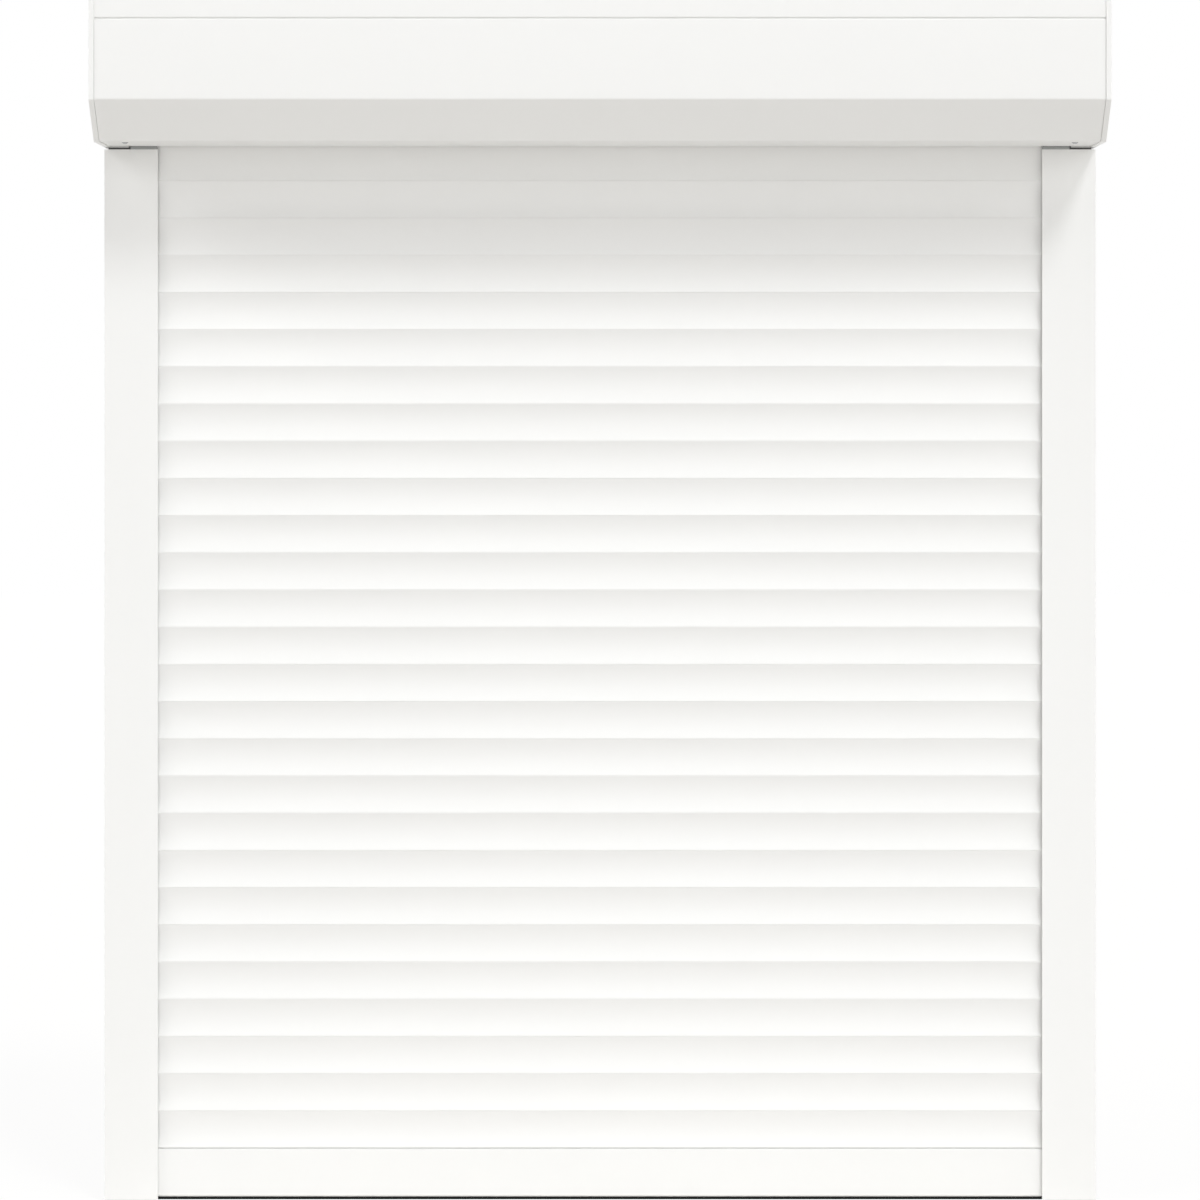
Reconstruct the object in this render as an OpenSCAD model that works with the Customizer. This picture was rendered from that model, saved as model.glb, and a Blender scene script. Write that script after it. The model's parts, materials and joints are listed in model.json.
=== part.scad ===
// Front-mounted exterior roller shutter: head box, two guide rails, slatted curtain, driven axle.
// Millimetres. +Z is up, +Y points to the wall, the front faces -Y, and x = 0 is the middle.
// The origin lies under the middle of the head box, at sill height.

/* [Overall] */
// Clear width between the two guide rails
clear_w = 879; // [600:1:1400]
// Height from the sill to the top of the head box
overall_h = 1185; // [700:1:1200]

/* [Head box] */
// Height of the head box
box_h = 137; // [137:1:165]
// Depth of the head box, front to wall
box_d = 137; // [137:1:165]
// Run and rise of the slanted lower front of the box
box_chamfer = 38; // [20:1:48]
// Height of the housing's front lip, from the top of the box to the seam
lip_h = 19.5; // [14:0.5:30]
// Open width of the seam between the lip and the inspection cover
seam_gap = 0.6; // [0.4:0.1:1.5]
// Thickness of the box sheets
sheet_t = 1; // [0.8:0.1:1.5]
// Outer bend radius of the box sheets
bend_r = 2; // [1.8:0.1:3]
// Outer bend radius between the cover's front and its slanted face
slant_bend_r = 3.5; // [2:0.5:6]
// Thickness of an end cap's plate
cap_t = 5; // [4:0.5:8]
// How far an end cap stands proud of the sheets
cap_proud = 1; // [0.6:0.1:2]
// Corner radius of an end cap
cap_corner_r = 2.5; // [1:0.5:5]
// Depth of the rim inside an end cap
rim_depth = 14; // [8:1:16]
// Thickness of the rim and of the ribs inside an end cap
rim_t = 2; // [1.5:0.5:4]
// Distance of a cover screw from the outer face of the end cap
screw_inset = 27.5; // [20:0.5:34]
// Distance of a cover screw in front of the rails
screw_forward = 55; // [40:1:62]
// Diameter of a cover screw's head
screw_head_d = 7; // [5:0.5:9]

/* [Guide rails] */
// Width of a guide rail, seen from the front
rail_w = 53; // [50:1:66]
// Depth of a guide rail, front to wall
rail_d = 22; // [22:1:30]
// Wall thickness of a guide rail
rail_wall = 1.5; // [1.2:0.1:2]
// Depth of the guide groove, from the rail's inner edge
groove_depth = 27; // [24:1:30]
// Width of the guide groove, front to back
groove_w = 12.5; // [12:0.5:14]
// Open gap between the top of a rail and the box
rail_gap = 2; // [1:0.5:4]
// Diameter of a rail's fixing holes
fix_hole_d = 6; // [4:0.5:8]
// Diameter of the access holes in line with the fixing holes
access_hole_d = 10; // [8:0.5:11]
// Distance of the outer fixing holes from the ends of a rail
fix_inset = 120; // [60:5:160]
// Thickness of the foot under a rail
foot_t = 2; // [1.5:0.5:5]

/* [Curtain] */
// Pitch of the slats in the closed curtain
slat_pitch = 37; // [36:0.5:50]
// Hollow of a slat's front face
slat_sag = 2.7; // [1.5:0.1:3]
// Thickness of a slat's body
slat_t = 5.3; // [5:0.1:6]
// Thickness of a slat's metal skin
skin_t = 0.6; // [0.5:0.1:0.8]
// Gap between two slats
slat_gap = 0.3; // [0.2:0.1:0.5]
// How far the ridges of the curtain lie behind the rail fronts
curtain_inset = 4; // [3.8:0.1:4.2]
// Height of the bottom bar
bar_h = 48.5; // [40:0.5:60]
// Thickness of the bottom bar
bar_t = 8; // [7.5:0.1:8.2]
// Wall thickness of the bottom bar
bar_wall = 1.3; // [1:0.1:1.6]
// Height of the rubber seal under the bottom bar
seal_h = 3; // [3:0.5:10]

/* [Axle and drive] */
// Width across the flats of the octagonal axle
axle_af = 40; // [40:1:50]
// Wall thickness of the axle
axle_wall = 0.8; // [0.6:0.1:1]
// Diameter of the idler pin
pin_d = 12; // [10:0.5:12]
// Outer diameter of the ball bearing
bearing_od = 28; // [26:0.5:32]
// Width of the ball bearing
bearing_w = 8; // [7:0.5:9]
// Diameter of the motor
motor_d = 35; // [30:0.5:35]
// Length of the motor
motor_len = 445; // [380:5:455]
// Number of hangers between the axle and the curtain
hanger_count = 3; // [2:1:3]
// Width of a hanger
hanger_w = 25; // [15:1:40]
// Distance between two hangers
hanger_spacing = 300; // [150:10:300]

/* [Hidden] */
$fn = 48;
// Steps of a sheet bend or of an outline's corner
bend_steps = 6;
// Overlap that joins the pieces of one solid, and lets cuts pass through
join = 1;

// Head box places
overall_w = clear_w + 2 * rail_w;
wall_y = box_d / 2;
front_y = -box_d / 2;
box_z = overall_h - box_h;
cap_in = overall_w / 2 - cap_t;
sheet_in = cap_proud + sheet_t;
fit_clear = 0.1;
rim_inset = sheet_in + fit_clear;
seam_z = overall_h - lip_h;
joggle = sheet_t + 2 * fit_clear;
joggle_h = 7;
joggle_bend_r = 1.2;
cover_lip_h = 9;
cover_lip_gap = 3;
housing_hem = 3;
outlet_gap = 0.7;
outlet_end = 1;
outlet_grip = 4;

// End cap details
lug_w = 14;
lug_h = 12;
rib_h = 6;

// Screws and rivets
screw_shank_d = 3.9;
screw_hole_d = 4.4;
screw_len = 11;
screw_head_h = 1.6;
screw_slot_w = 1;
bracket_screw_r = 29;
bracket_screw_len = 7;
bracket_head_d = 8;
bracket_head_h = 2.5;
rivet_head_d = 6;
rivet_head_h = 0.8;
rivet_d = 3.2;
rivet_len = 5;
rivet_inset = 7;
rivet_side = 30;

// Guide rail places
rail_y = wall_y - rail_d;
rail_x = clear_w / 2;
rail_top = box_z - rail_gap;
groove_back = rail_wall + groove_w;
chamber_a = groove_depth + rail_wall;
chamber_w = rail_w - rail_wall - chamber_a;
back_chamber_d = rail_d - groove_back - 2 * rail_wall;
hole_b = rail_wall + groove_w / 2;
fix_count = 4;
fix_step = (rail_top - foot_t - 2 * fix_inset) / (fix_count - 1);
seal_rib = 1;
seal_w = 5;
seal_clear = 0.2;
strip_touch = 0.3;
tenon_len = 42;
tenon_rise = 22;
tenon_clear = 0.2;

// Inlet funnel and rail foot
funnel_wall = 1.6;
funnel_h = 14;
funnel_flare = 1;
funnel_neck = 3;
funnel_end = 1;
peg_len = 15;
peg_clear = 0.4;
foot_plug_h = 12;

// Curtain places
ridge_y = rail_y + curtain_inset;
seal_lift = 1.5;
bar_z = seal_lift + seal_h;
bar_top = bar_z + bar_h;
slat_count = ceil((box_z - bar_top) / slat_pitch);
curtain_top = bar_top + slat_count * slat_pitch;
end_clear = 1.5;
lock_t = 3;
lock_tongue = 16;
slat_end = rail_x + groove_depth - end_clear - lock_t;
slat_r = (pow(slat_pitch / 2, 2) + slat_sag * slat_sag) / (2 * slat_sag);
neck_u = 3.8;
neck_t = 0.7;
bead_r = 1;
bead_v = 4.2;
mouth_w = 1.5;
mouth_h = 1.8;
pocket_w = 2.8;
pocket_h = 6.8;
edge_r = 0.4;
edge_step = 0.05;
core_v = pocket_h + 2 * skin_t;
core_clear = 0.25;

// Bottom bar and seal
bar_slope = 10;
bar_gap = 0.6;
bar_edge = 1.2;
seal_slot_w = 3.6;
seal_foot_w = 5;
seal_foot_h = 2.4;
seal_lip_w = 5.6;
seal_lip_wall = 1.4;
seal_fit = 0.2;

// Axle places
axle_y = (front_y + wall_y) / 2;
axle_z = box_z + box_h / 2;
tube_end = 21.5;
tube_x = cap_in - tube_end;
tube_in_af = axle_af - 2 * axle_wall;
plug_clear = 0.15;
run_clear = 0.05;
plug_af = tube_in_af - 2 * plug_clear;
seat_depth = bearing_w + 1;
seat_wall = 5;
ring_t = 2;
ball_r = (bearing_od / 2 - pin_d / 2) / 2 - ring_t - run_clear;
ball_pcr = (bearing_od / 2 + pin_d / 2) / 2;
ball_count = 7;
capsule_len = 46;
flange_t = 2;
shoulder_r = 8.5;

// Motor and its bracket
bracket_t = 4;
bracket_r = 34;
stub_w = 10;
head_gap = 1;
head_x = tube_x + head_gap;
head_rim = 3;
head_r = axle_af / 2 + head_rim;
socket_w = 12;
socket_h = 6;
output_r = 5;
output_len = 11;
wheel_w = 20;
wheel_gap = 0.3;
crown_w = 13;
crown_inset = 2;

// Hangers
slot_l = 4;
strap_t = 0.5;
strap_clear = 0.15;
curl_clear = 0.25;
curl_wall = 0.6;
curl_mouth = 0.4;
curl_turn = 125;

// One node per slat, numbered from the bottom of the curtain
function slat_name(i) = str("slat_", i < 10 ? "0" : "", i);
SLAT_NODES = [for (i = [1:slat_count]) slat_name(i)];

// Colours as they look on the product
powder_white = [0.96, 0.96, 0.95];
raw_aluminium = [0.75, 0.76, 0.77];
galvanised = [0.66, 0.68, 0.7];
bearing_steel = [0.55, 0.56, 0.58];
grey_plastic = [0.55, 0.56, 0.56];
dark_plastic = [0.16, 0.16, 0.17];
black_rubber = [0.06, 0.06, 0.06];
foam_yellow = [0.87, 0.8, 0.58];

// Unit vector along v
function unit(v) = v / norm(v);
// A quarter turn to the left
function left_of(d) = [-d[1], d[0]];
// The plane part of a path point [y, z, bend radius]
function spot(p) = [p[0], p[1]];
function reversed(list) = [for (i = [len(list) - 1:-1:0]) list[i]];

// The arc that rounds the corner b between a and c
function corner_arc(a, b, c, r) =
    let (d1 = unit(b - a), d2 = unit(c - b))
    let (turn = atan2(d1[0] * d2[1] - d1[1] * d2[0], d1 * d2))
    let (start = b - d1 * r * tan(abs(turn) / 2), centre = start + sign(turn) * r * left_of(d1))
    let (from = atan2(start[1] - centre[1], start[0] - centre[0]))
    [for (k = [0:bend_steps]) let (t = from + turn * k / bend_steps) centre + r * [cos(t), sin(t)]];

// A path of [y, z, bend radius] with its inner corners rounded
function bent(path) =
    [for (i = [0:len(path) - 1])
        each i == 0 || i == len(path) - 1 || path[i][2] == 0
            ? [spot(path[i])]
            : corner_arc(spot(path[i - 1]), spot(path[i]), spot(path[i + 1]), path[i][2])];

// A closed outline with every corner rounded by r
function rounded(outline, r) =
    let (n = len(outline))
    [for (i = [0:n - 1]) each corner_arc(outline[(i + n - 1) % n], outline[i], outline[(i + 1) % n], r)];

// A line moved to its left by t, mitred at its corners
function shifted(line, t) =
    let (last = len(line) - 1)
    [for (i = [0:last])
        let (a = max(i, 1), b = min(i, last - 1))
        let (n1 = left_of(unit(line[a] - line[a - 1])), n2 = left_of(unit(line[b + 1] - line[b])))
        line[i] + t * (n1 + n2) / (1 + n1 * n2)];

// The side outline of the head box, moved in by d, as [y, z] points
function box_outline(d) =
    let (slant = box_chamfer + d * (sqrt(2) - 1))
    [[wall_y - d, box_z + d], [wall_y - d, overall_h - d], [front_y + d, overall_h - d],
     [front_y + d, box_z + slant], [front_y + slant, box_z + d]];

// Carries a profile drawn in [y, z] from x0 to x1
module along_x(x0, x1) {
    translate([x0, 0, 0])
        rotate([90, 0, 90])
            linear_extrude(x1 - x0)
                children();
}

// Draws its children on the right (side 1) or mirrored on the left (side -1)
module on_side(side) {
    if (side < 0)
        mirror([1, 0, 0])
            children();
    else
        children();
}

// Draws its children on both sides
module both_sides() {
    on_side(1)
        children();
    on_side(-1)
        children();
}

// A bent sheet of thickness t, left of its path
module sheet(path, t) {
    line = bent(path);
    polygon(concat(line, reversed(shifted(line, t))));
}

// An octagon across its flats, with flats at the top and at the back
module octagon(af) {
    rotate(180 / 8)
        circle(r = af / 2 / cos(180 / 8), $fn = 8);
}

// Roll-formed back, top and front lip of the head box
module box_housing() {
    back = wall_y - cap_proud;
    front = front_y + cap_proud;
    top = overall_h - cap_proud;
    path = [[back - housing_hem, box_z + cap_proud, 0], [back, box_z + cap_proud, bend_r],
            [back, top, bend_r], [front, top, bend_r], [front, seam_z, 0]];
    color(powder_white)
        difference() {
            along_x(-cap_in, cap_in)
                sheet(path, sheet_t);
            both_sides()
                rivet_holes();
        }
}

// Removable front of the head box: front face, slanted face and underside
module inspection_cover() {
    front = front_y + cap_proud;
    slant = box_chamfer + cap_proud * (sqrt(2) - 1);
    below = box_z + cap_proud;
    edge = rail_y - cover_lip_gap;
    path = [[front + joggle, seam_z + joggle_h, 0], [front + joggle, seam_z - seam_gap, joggle_bend_r],
            [front, seam_z - seam_gap - joggle, joggle_bend_r], [front, box_z + slant, slant_bend_r],
            [front_y + slant, below, bend_r], [edge, below, bend_r], [edge, below + cover_lip_h, 0]];
    color(powder_white)
        difference() {
            along_x(-cap_in, cap_in)
                sheet(path, sheet_t);
            both_sides()
                cover_screw_axis()
                    cylinder(d = screw_hole_d, h = 2 * sheet_t + 2 * join, center = true);
        }
}

// Strip clipped over the cover's rear edge, which narrows the outlet of the curtain
module outlet_strip() {
    edge = rail_y - cover_lip_gap;
    low = box_z + cap_proud;
    top = low + cover_lip_h + fit_clear;
    back = edge + fit_clear;
    front = edge - sheet_t - fit_clear;
    color(powder_white)
        along_x(outlet_end - rail_x, rail_x - outlet_end)
            polygon([[ridge_y - outlet_gap, low], [ridge_y - outlet_gap, low + sheet_t],
                     [back + sheet_t, low + sheet_t], [back + sheet_t, top + sheet_t],
                     [front - sheet_t, top + sheet_t], [front - sheet_t, top - outlet_grip],
                     [front, top - outlet_grip], [front, top], [back, top], [back, low]]);
}

// Middle of a cover screw, on the outer face of the underside
module cover_screw_axis() {
    translate([overall_w / 2 - screw_inset, rail_y - screw_forward, box_z + cap_proud])
        children();
}

// Domed cover screws with a cross recess, one near each end of the underside
module cover_screws() {
    dome_r = (pow(screw_head_d / 2, 2) + screw_head_h * screw_head_h) / (2 * screw_head_h);
    color(bearing_steel)
        both_sides()
            cover_screw_axis() {
                cylinder(d = screw_shank_d, h = screw_len);
                difference() {
                    intersection() {
                        translate([0, 0, dome_r - screw_head_h])
                            sphere(dome_r);
                        translate([0, 0, -screw_head_h - join])
                            cylinder(d = screw_head_d, h = screw_head_h + join);
                    }
                    for (turn = [0, 90])
                        rotate(turn)
                            translate([0, 0, -screw_head_h])
                                cube([screw_head_d / 2, screw_slot_w, screw_head_h], center = true);
                }
            }
}

// Plate, rim, ribs, screw lug and rail tenon that both end caps share, drawn on the right
module end_cap_body() {
    along_x(cap_in, cap_in + cap_t)
        polygon(rounded(box_outline(0), cap_corner_r));
    difference() {
        along_x(cap_in - rim_depth, cap_in + join)
            difference() {
                polygon(rounded(box_outline(rim_inset), bend_r));
                polygon(box_outline(rim_inset + rim_t));
            }
        rim_breaks();
        rivet_holes();
    }
    screw_lug();
    rail_tenon();
}

// Tongue of an end cap that plugs into the chamber of the rail below
module rail_tenon() {
    x = rail_x + chamber_a + tenon_clear;
    y = rail_y + rail_wall + tenon_clear;
    hem_y = wall_y - cap_proud - housing_hem - tenon_clear;
    translate([x, y, rail_top - tenon_len])
        cube([cap_in + join - x, hem_y - y, tenon_len + rail_gap + tenon_rise]);
}

// Where the rim stops: beside the cover's joggle and above the guide rail
module rim_breaks() {
    translate([cap_in - rim_depth - join, front_y, seam_z - 2 * joggle - seam_gap])
        cube([rim_depth + join, rim_inset + rim_t + join, joggle_h + 4 * joggle]);
    translate([cap_in - rim_depth - join, rail_y - cover_lip_gap - 2 * sheet_t, box_z])
        cube([rim_depth + join, rail_d, rim_inset + rim_t + join]);
}

// Block that takes the cover screw
module screw_lug() {
    lug_x = overall_w / 2 - screw_inset - lug_w / 2;
    difference() {
        translate([lug_x, rail_y - screw_forward - lug_w / 2, box_z + rim_inset])
            cube([cap_in + join - lug_x, lug_w, lug_h]);
        cover_screw_axis()
            cylinder(d = screw_shank_d + fit_clear, h = screw_len + join);
    }
}

// Radial ribs from the hub to the rim on the inner face of an end cap
module cap_ribs(hub_r, rib_h) {
    reach = min(box_h, box_d) / 2 - rim_inset;
    for (turn = [90, 180, 270])
        translate([cap_in + join, axle_y, axle_z])
            rotate([turn, 0, 0])
                translate([-rib_h - join, hub_r, -rim_t / 2])
                    cube([rib_h + join, reach - hub_r, rim_t]);
}

// Left end cap, with the seat of the ball bearing
module left_end_cap() {
    seat_r = bearing_od / 2 + run_clear;
    color(powder_white)
        on_side(-1)
            difference() {
                union() {
                    end_cap_body();
                    along_x(cap_in - seat_depth, cap_in + join)
                        translate([axle_y, axle_z])
                            circle(seat_r + seat_wall);
                    cap_ribs(seat_r + seat_wall / 2, rib_h);
                }
                along_x(cap_in - seat_depth - join, cap_in)
                    translate([axle_y, axle_z])
                        circle(seat_r);
            }
}

// Right end cap, which carries the motor bracket
module right_end_cap() {
    color(powder_white)
        difference() {
            union() {
                end_cap_body();
                cap_ribs(bracket_r + fit_clear, rib_h);
            }
            bracket_screw_axes()
                cylinder(d = screw_shank_d + fit_clear, h = bracket_screw_len + join);
        }
}

// Axes of the rivets at one end of the housing, two on top and two at the back
module rivet_axes() {
    x = cap_in - rivet_inset;
    for (y = [front_y + rivet_side, wall_y - rivet_side])
        translate([x, y, overall_h - cap_proud])
            children();
    for (z = [box_z + rivet_side + tenon_rise, overall_h - rivet_side])
        translate([x, wall_y - cap_proud, z])
            rotate([-90, 0, 0])
                children();
}

// Holes for the rivets at one end, through the sheet and the rim
module rivet_holes() {
    rivet_axes()
        translate([0, 0, -rivet_len - join])
            cylinder(d = rivet_d + 2 * fit_clear, h = rivet_len + 2 * join);
}

// Blind rivets that hold the housing to the end caps
module housing_rivets() {
    color(raw_aluminium)
        both_sides()
            rivet_axes() {
                cylinder(d = rivet_head_d, h = rivet_head_h);
                translate([0, 0, -rivet_len])
                    cylinder(d = rivet_d, h = rivet_len + rivet_head_h / 2);
            }
}

// Extruded section of a guide rail, from the inner edge out and from the front back
module rail_section() {
    difference() {
        square([rail_w, rail_d]);
        translate([-join, rail_wall])
            square([groove_depth + join, groove_w]);
        translate([chamber_a, rail_wall])
            square([chamber_w, rail_d - 2 * rail_wall]);
        translate([rail_wall, groove_back + rail_wall])
            square([groove_depth - rail_wall, back_chamber_d]);
    }
    for (a = [0, seal_rib + seal_w + 2 * seal_clear])
        for (b = [rail_wall, groove_back - seal_rib])
            translate([a, b])
                square([seal_rib, seal_rib]);
}

// Draws its children in the right rail's own frame
module at_rail() {
    translate([rail_x, rail_y, 0])
        children();
}

// One guide rail with its fixing holes, drawn on the right
module guide_rail() {
    at_rail()
        difference() {
            translate([0, 0, foot_t])
                linear_extrude(rail_top - foot_t)
                    rail_section();
            for (i = [0:fix_count - 1])
                translate([0, hole_b, foot_t + fix_inset + i * fix_step])
                    rotate([0, 90, 0]) {
                        cylinder(d = fix_hole_d, h = rail_w + join);
                        cylinder(d = access_hole_d, h = chamber_a + join);
                    }
        }
}

module left_guide_rail() {
    color(powder_white)
        on_side(-1)
            guide_rail();
}

module right_guide_rail() {
    color(powder_white)
        on_side(1)
            guide_rail();
}

// The two seal strips at the mouth of one groove: a foot between ribs and a soft lip to the slats
module rail_seals() {
    front_free = curtain_inset - rail_wall - strip_touch;
    back_free = groove_back - curtain_inset - max(bar_t, slat_t + slat_sag) - strip_touch;
    at_rail()
        translate([seal_rib + seal_clear, 0, foot_t])
            linear_extrude(rail_top - foot_t) {
                translate([0, rail_wall])
                    square([seal_w, front_free]);
                translate([0, groove_back - back_free])
                    square([seal_w, back_free]);
            }
}

module left_rail_seals() {
    color(grey_plastic)
        on_side(-1)
            rail_seals();
}

module right_rail_seals() {
    color(grey_plastic)
        on_side(1)
            rail_seals();
}

// One flared horn of the inlet funnel, leaning by lean over its height
module funnel_horn(lean) {
    polygon([[0, 0], [funnel_wall, 0], [funnel_wall, funnel_neck], [funnel_wall + lean, funnel_h],
             [lean, funnel_h], [0, funnel_neck]]);
}

// Plastic funnel on top of a rail that leads the curtain into the groove, drawn on the right
module inlet_funnel() {
    slot_w = groove_w + 2 * rail_wall - 2 * funnel_wall;
    back_b = rail_wall + back_chamber_d + groove_back;
    translate([0, 0, rail_top])
        at_rail() {
            linear_extrude(rail_gap)
                difference() {
                    square([groove_depth, back_b]);
                    translate([-join, funnel_wall])
                        square([groove_depth - funnel_end + join, slot_w]);
                }
            along_x(funnel_end, groove_depth)
                funnel_horn(-funnel_flare);
            along_x(funnel_end, groove_depth)
                translate([funnel_wall + slot_w, 0])
                    funnel_horn(funnel_flare);
            translate([rail_wall + peg_clear, groove_back + rail_wall + peg_clear, -peg_len])
                cube([groove_depth - 2 * rail_wall - 2 * peg_clear,
                      back_chamber_d - 2 * peg_clear, peg_len + join]);
        }
}

module left_inlet_funnel() {
    color(grey_plastic)
        on_side(-1)
            inlet_funnel();
}

module right_inlet_funnel() {
    color(grey_plastic)
        on_side(1)
            inlet_funnel();
}

// Plastic foot that closes the lower end of a rail and leaves the groove open, drawn on the right
module rail_foot() {
    at_rail() {
        linear_extrude(foot_t)
            difference() {
                square([rail_w, rail_d]);
                translate([-join, rail_wall])
                    square([groove_depth + join, groove_w]);
            }
        translate([chamber_a + tenon_clear, rail_wall + tenon_clear, foot_t - join])
            cube([chamber_w - 2 * tenon_clear, rail_d - 2 * rail_wall - 2 * tenon_clear,
                  foot_plug_h + join]);
    }
}

module left_rail_foot() {
    color(grey_plastic)
        on_side(-1)
            rail_foot();
}

module right_rail_foot() {
    color(grey_plastic)
        on_side(1)
            rail_foot();
}

// Draws its children in a curtain profile's frame: back from the ridges, up from height z
module at_curtain(z) {
    translate([ridge_y, z])
        children();
}

// Band between the two arcs of a slat, hollow towards the front, grown by g and cut from v0 to v1
module slat_band(g, v0, v1) {
    intersection() {
        translate([slat_sag - slat_r, slat_pitch / 2])
            difference() {
                circle(slat_r + slat_t + g, $fn = 256);
                circle(slat_r - g, $fn = 256);
            }
        translate([-slat_t, v0])
            square([3 * slat_t, v1 - v0]);
    }
}

// Bead on a neck, which hangs in the pocket of the piece above
module hook(v) {
    translate([neck_u - neck_t / 2, v - join])
        square([neck_t, bead_v + join]);
    translate([neck_u, v + bead_v])
        circle(bead_r);
}

// Pocket with a narrow mouth, which holds the bead of the piece below
module pocket() {
    translate([neck_u - mouth_w / 2, -join])
        square([mouth_w, mouth_h + 2 * join]);
    translate([neck_u - pocket_w / 2, mouth_h])
        square([pocket_w, pocket_h - mouth_h]);
}

// Rounded lower or upper edge of a slat, at height v
module slat_edge(v) {
    front = slat_face(slat_r) + edge_r;
    back = slat_face(slat_r + slat_t) - edge_r;
    for (u = [front, back])
        translate([u, v])
            circle(edge_r);
    translate([front, v - edge_r + edge_step])
        square([back - front, 2 * edge_r - 2 * edge_step]);
}

// How far back a slat's arc of radius r lies where the rounded edges start
function slat_face(r) = slat_sag - slat_r + sqrt(r * r - pow(slat_pitch / 2 - slat_gap / 2 - edge_r, 2));

// Closed section of a slat's metal skin
module slat_section() {
    low = slat_gap / 2 + edge_r;
    high = slat_pitch - low;
    difference() {
        union() {
            slat_band(0, low, high);
            slat_edge(low);
            slat_edge(high);
            hook(slat_pitch);
        }
        pocket();
        slat_core(0);
    }
}

// Hollow of a slat, drawn smaller by c on every side
module slat_core(c) {
    slat_band(-skin_t - c, core_v + c, slat_pitch - 2 * edge_r - skin_t - c);
}

// Slat i of the curtain, counted from the bottom
module slat(i) {
    color(powder_white)
        along_x(-slat_end, slat_end)
            at_curtain(bar_top + (i - 1) * slat_pitch)
                slat_section();
}

// Foam cores inside the slats
module slat_foam() {
    core_end = slat_end - lock_tongue - core_clear;
    color(foam_yellow)
        for (i = [1:slat_count])
            along_x(-core_end, core_end)
                at_curtain(bar_top + (i - 1) * slat_pitch)
                    slat_core(core_clear);
}

// Plastic locks in the ends of every second slat, which stop the slats sliding sideways
module slat_end_locks() {
    color(grey_plastic)
        for (i = [2:2:slat_count])
            both_sides() {
                along_x(slat_end - lock_tongue, slat_end + join)
                    at_curtain(bar_top + (i - 1) * slat_pitch)
                        slat_core(core_clear);
                along_x(slat_end, slat_end + lock_t)
                    at_curtain(bar_top + (i - 1) * slat_pitch)
                        slat_band(-core_clear, core_v, slat_pitch - 2 * edge_r - skin_t);
            }
}

// Outline of the bottom bar, shrunk by d on every side
module bar_outline(d) {
    back = slat_face(slat_r + slat_t);
    top = bar_h - bar_gap;
    polygon([[bar_edge + d, d], [bar_t - d, d], [bar_t - d, top - bar_slope - d / 2], [back - d, top - d],
             [bar_edge + d, top - d], [d, top - bar_edge - d], [d, bar_edge + d]]);
}

// T slot in the bottom bar, grown by c on every side
module seal_slot(c) {
    slot_u = bar_t / 2;
    translate([slot_u - seal_slot_w / 2 - c, -join])
        square([seal_slot_w + 2 * c, bar_wall + 2 * join]);
    translate([slot_u - seal_foot_w / 2 - c, bar_wall - c])
        square([seal_foot_w + 2 * c, seal_foot_h + 2 * c]);
}

// Chamber of the bottom bar, shrunk by c on every side
module bar_chamber(c) {
    floor_v = 2 * bar_wall + seal_foot_h + c;
    intersection() {
        bar_outline(bar_wall + c);
        translate([0, floor_v])
            square([bar_t, bar_h]);
    }
}

// Extruded bottom bar with a hook, a chamber and the slot of the seal
module bottom_bar() {
    color(powder_white)
        along_x(-slat_end, slat_end)
            at_curtain(bar_z)
                difference() {
                    union() {
                        bar_outline(0);
                        hook(bar_h);
                    }
                    bar_chamber(0);
                    seal_slot(0);
                }
}

// Hollow rubber seal, whose foot slides into the slot of the bottom bar
module bottom_seal() {
    lip_r = seal_lip_w / 2;
    color(black_rubber)
        along_x(-slat_end, slat_end)
            at_curtain(seal_lift)
                translate([bar_t / 2, 0]) {
                    translate([-seal_slot_w / 2 + seal_fit, seal_h - join])
                        square([seal_slot_w - 2 * seal_fit, bar_wall + join + seal_fit * 2]);
                    translate([-seal_foot_w / 2 + seal_fit, seal_h + bar_wall + seal_fit])
                        square([seal_foot_w - 2 * seal_fit, seal_foot_h - 2 * seal_fit]);
                    difference() {
                        union() {
                            intersection() {
                                translate([0, lip_r])
                                    circle(lip_r);
                                translate([-lip_r, 0])
                                    square([seal_lip_w, lip_r]);
                            }
                            translate([-lip_r, lip_r])
                                square([seal_lip_w, seal_h - lip_r]);
                        }
                        translate([0, lip_r])
                            circle(lip_r - seal_lip_wall);
                    }
                }
}

// Plastic plugs in the ends of the bottom bar
module bar_end_plugs() {
    color(grey_plastic)
        both_sides() {
            along_x(slat_end - lock_tongue, slat_end + join)
                at_curtain(bar_z)
                    bar_chamber(core_clear);
            along_x(slat_end, slat_end + lock_t)
                at_curtain(bar_z)
                    bar_outline(core_clear);
        }
}

// Carries a profile round the axle's middle from x0 to x1
module on_axle(x0, x1) {
    along_x(x0, x1)
        translate([axle_y, axle_z])
            children();
}

// Octagonal steel tube that the curtain winds on, with a slot for each hanger
module axle_tube() {
    color(galvanised)
        difference() {
            on_axle(-tube_x, tube_x)
                difference() {
                    octagon(axle_af);
                    octagon(tube_in_af);
                }
            for (x = hanger_xs())
                translate([x - hanger_w / 2, axle_y - slot_l / 2, axle_z + axle_af / 2 - axle_wall - join])
                    cube([hanger_w, slot_l, axle_wall + 2 * join]);
        }
}

// Places of the hangers along the axle
function hanger_xs() = [for (i = [0:hanger_count - 1]) (i - (hanger_count - 1) / 2) * hanger_spacing];

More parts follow.
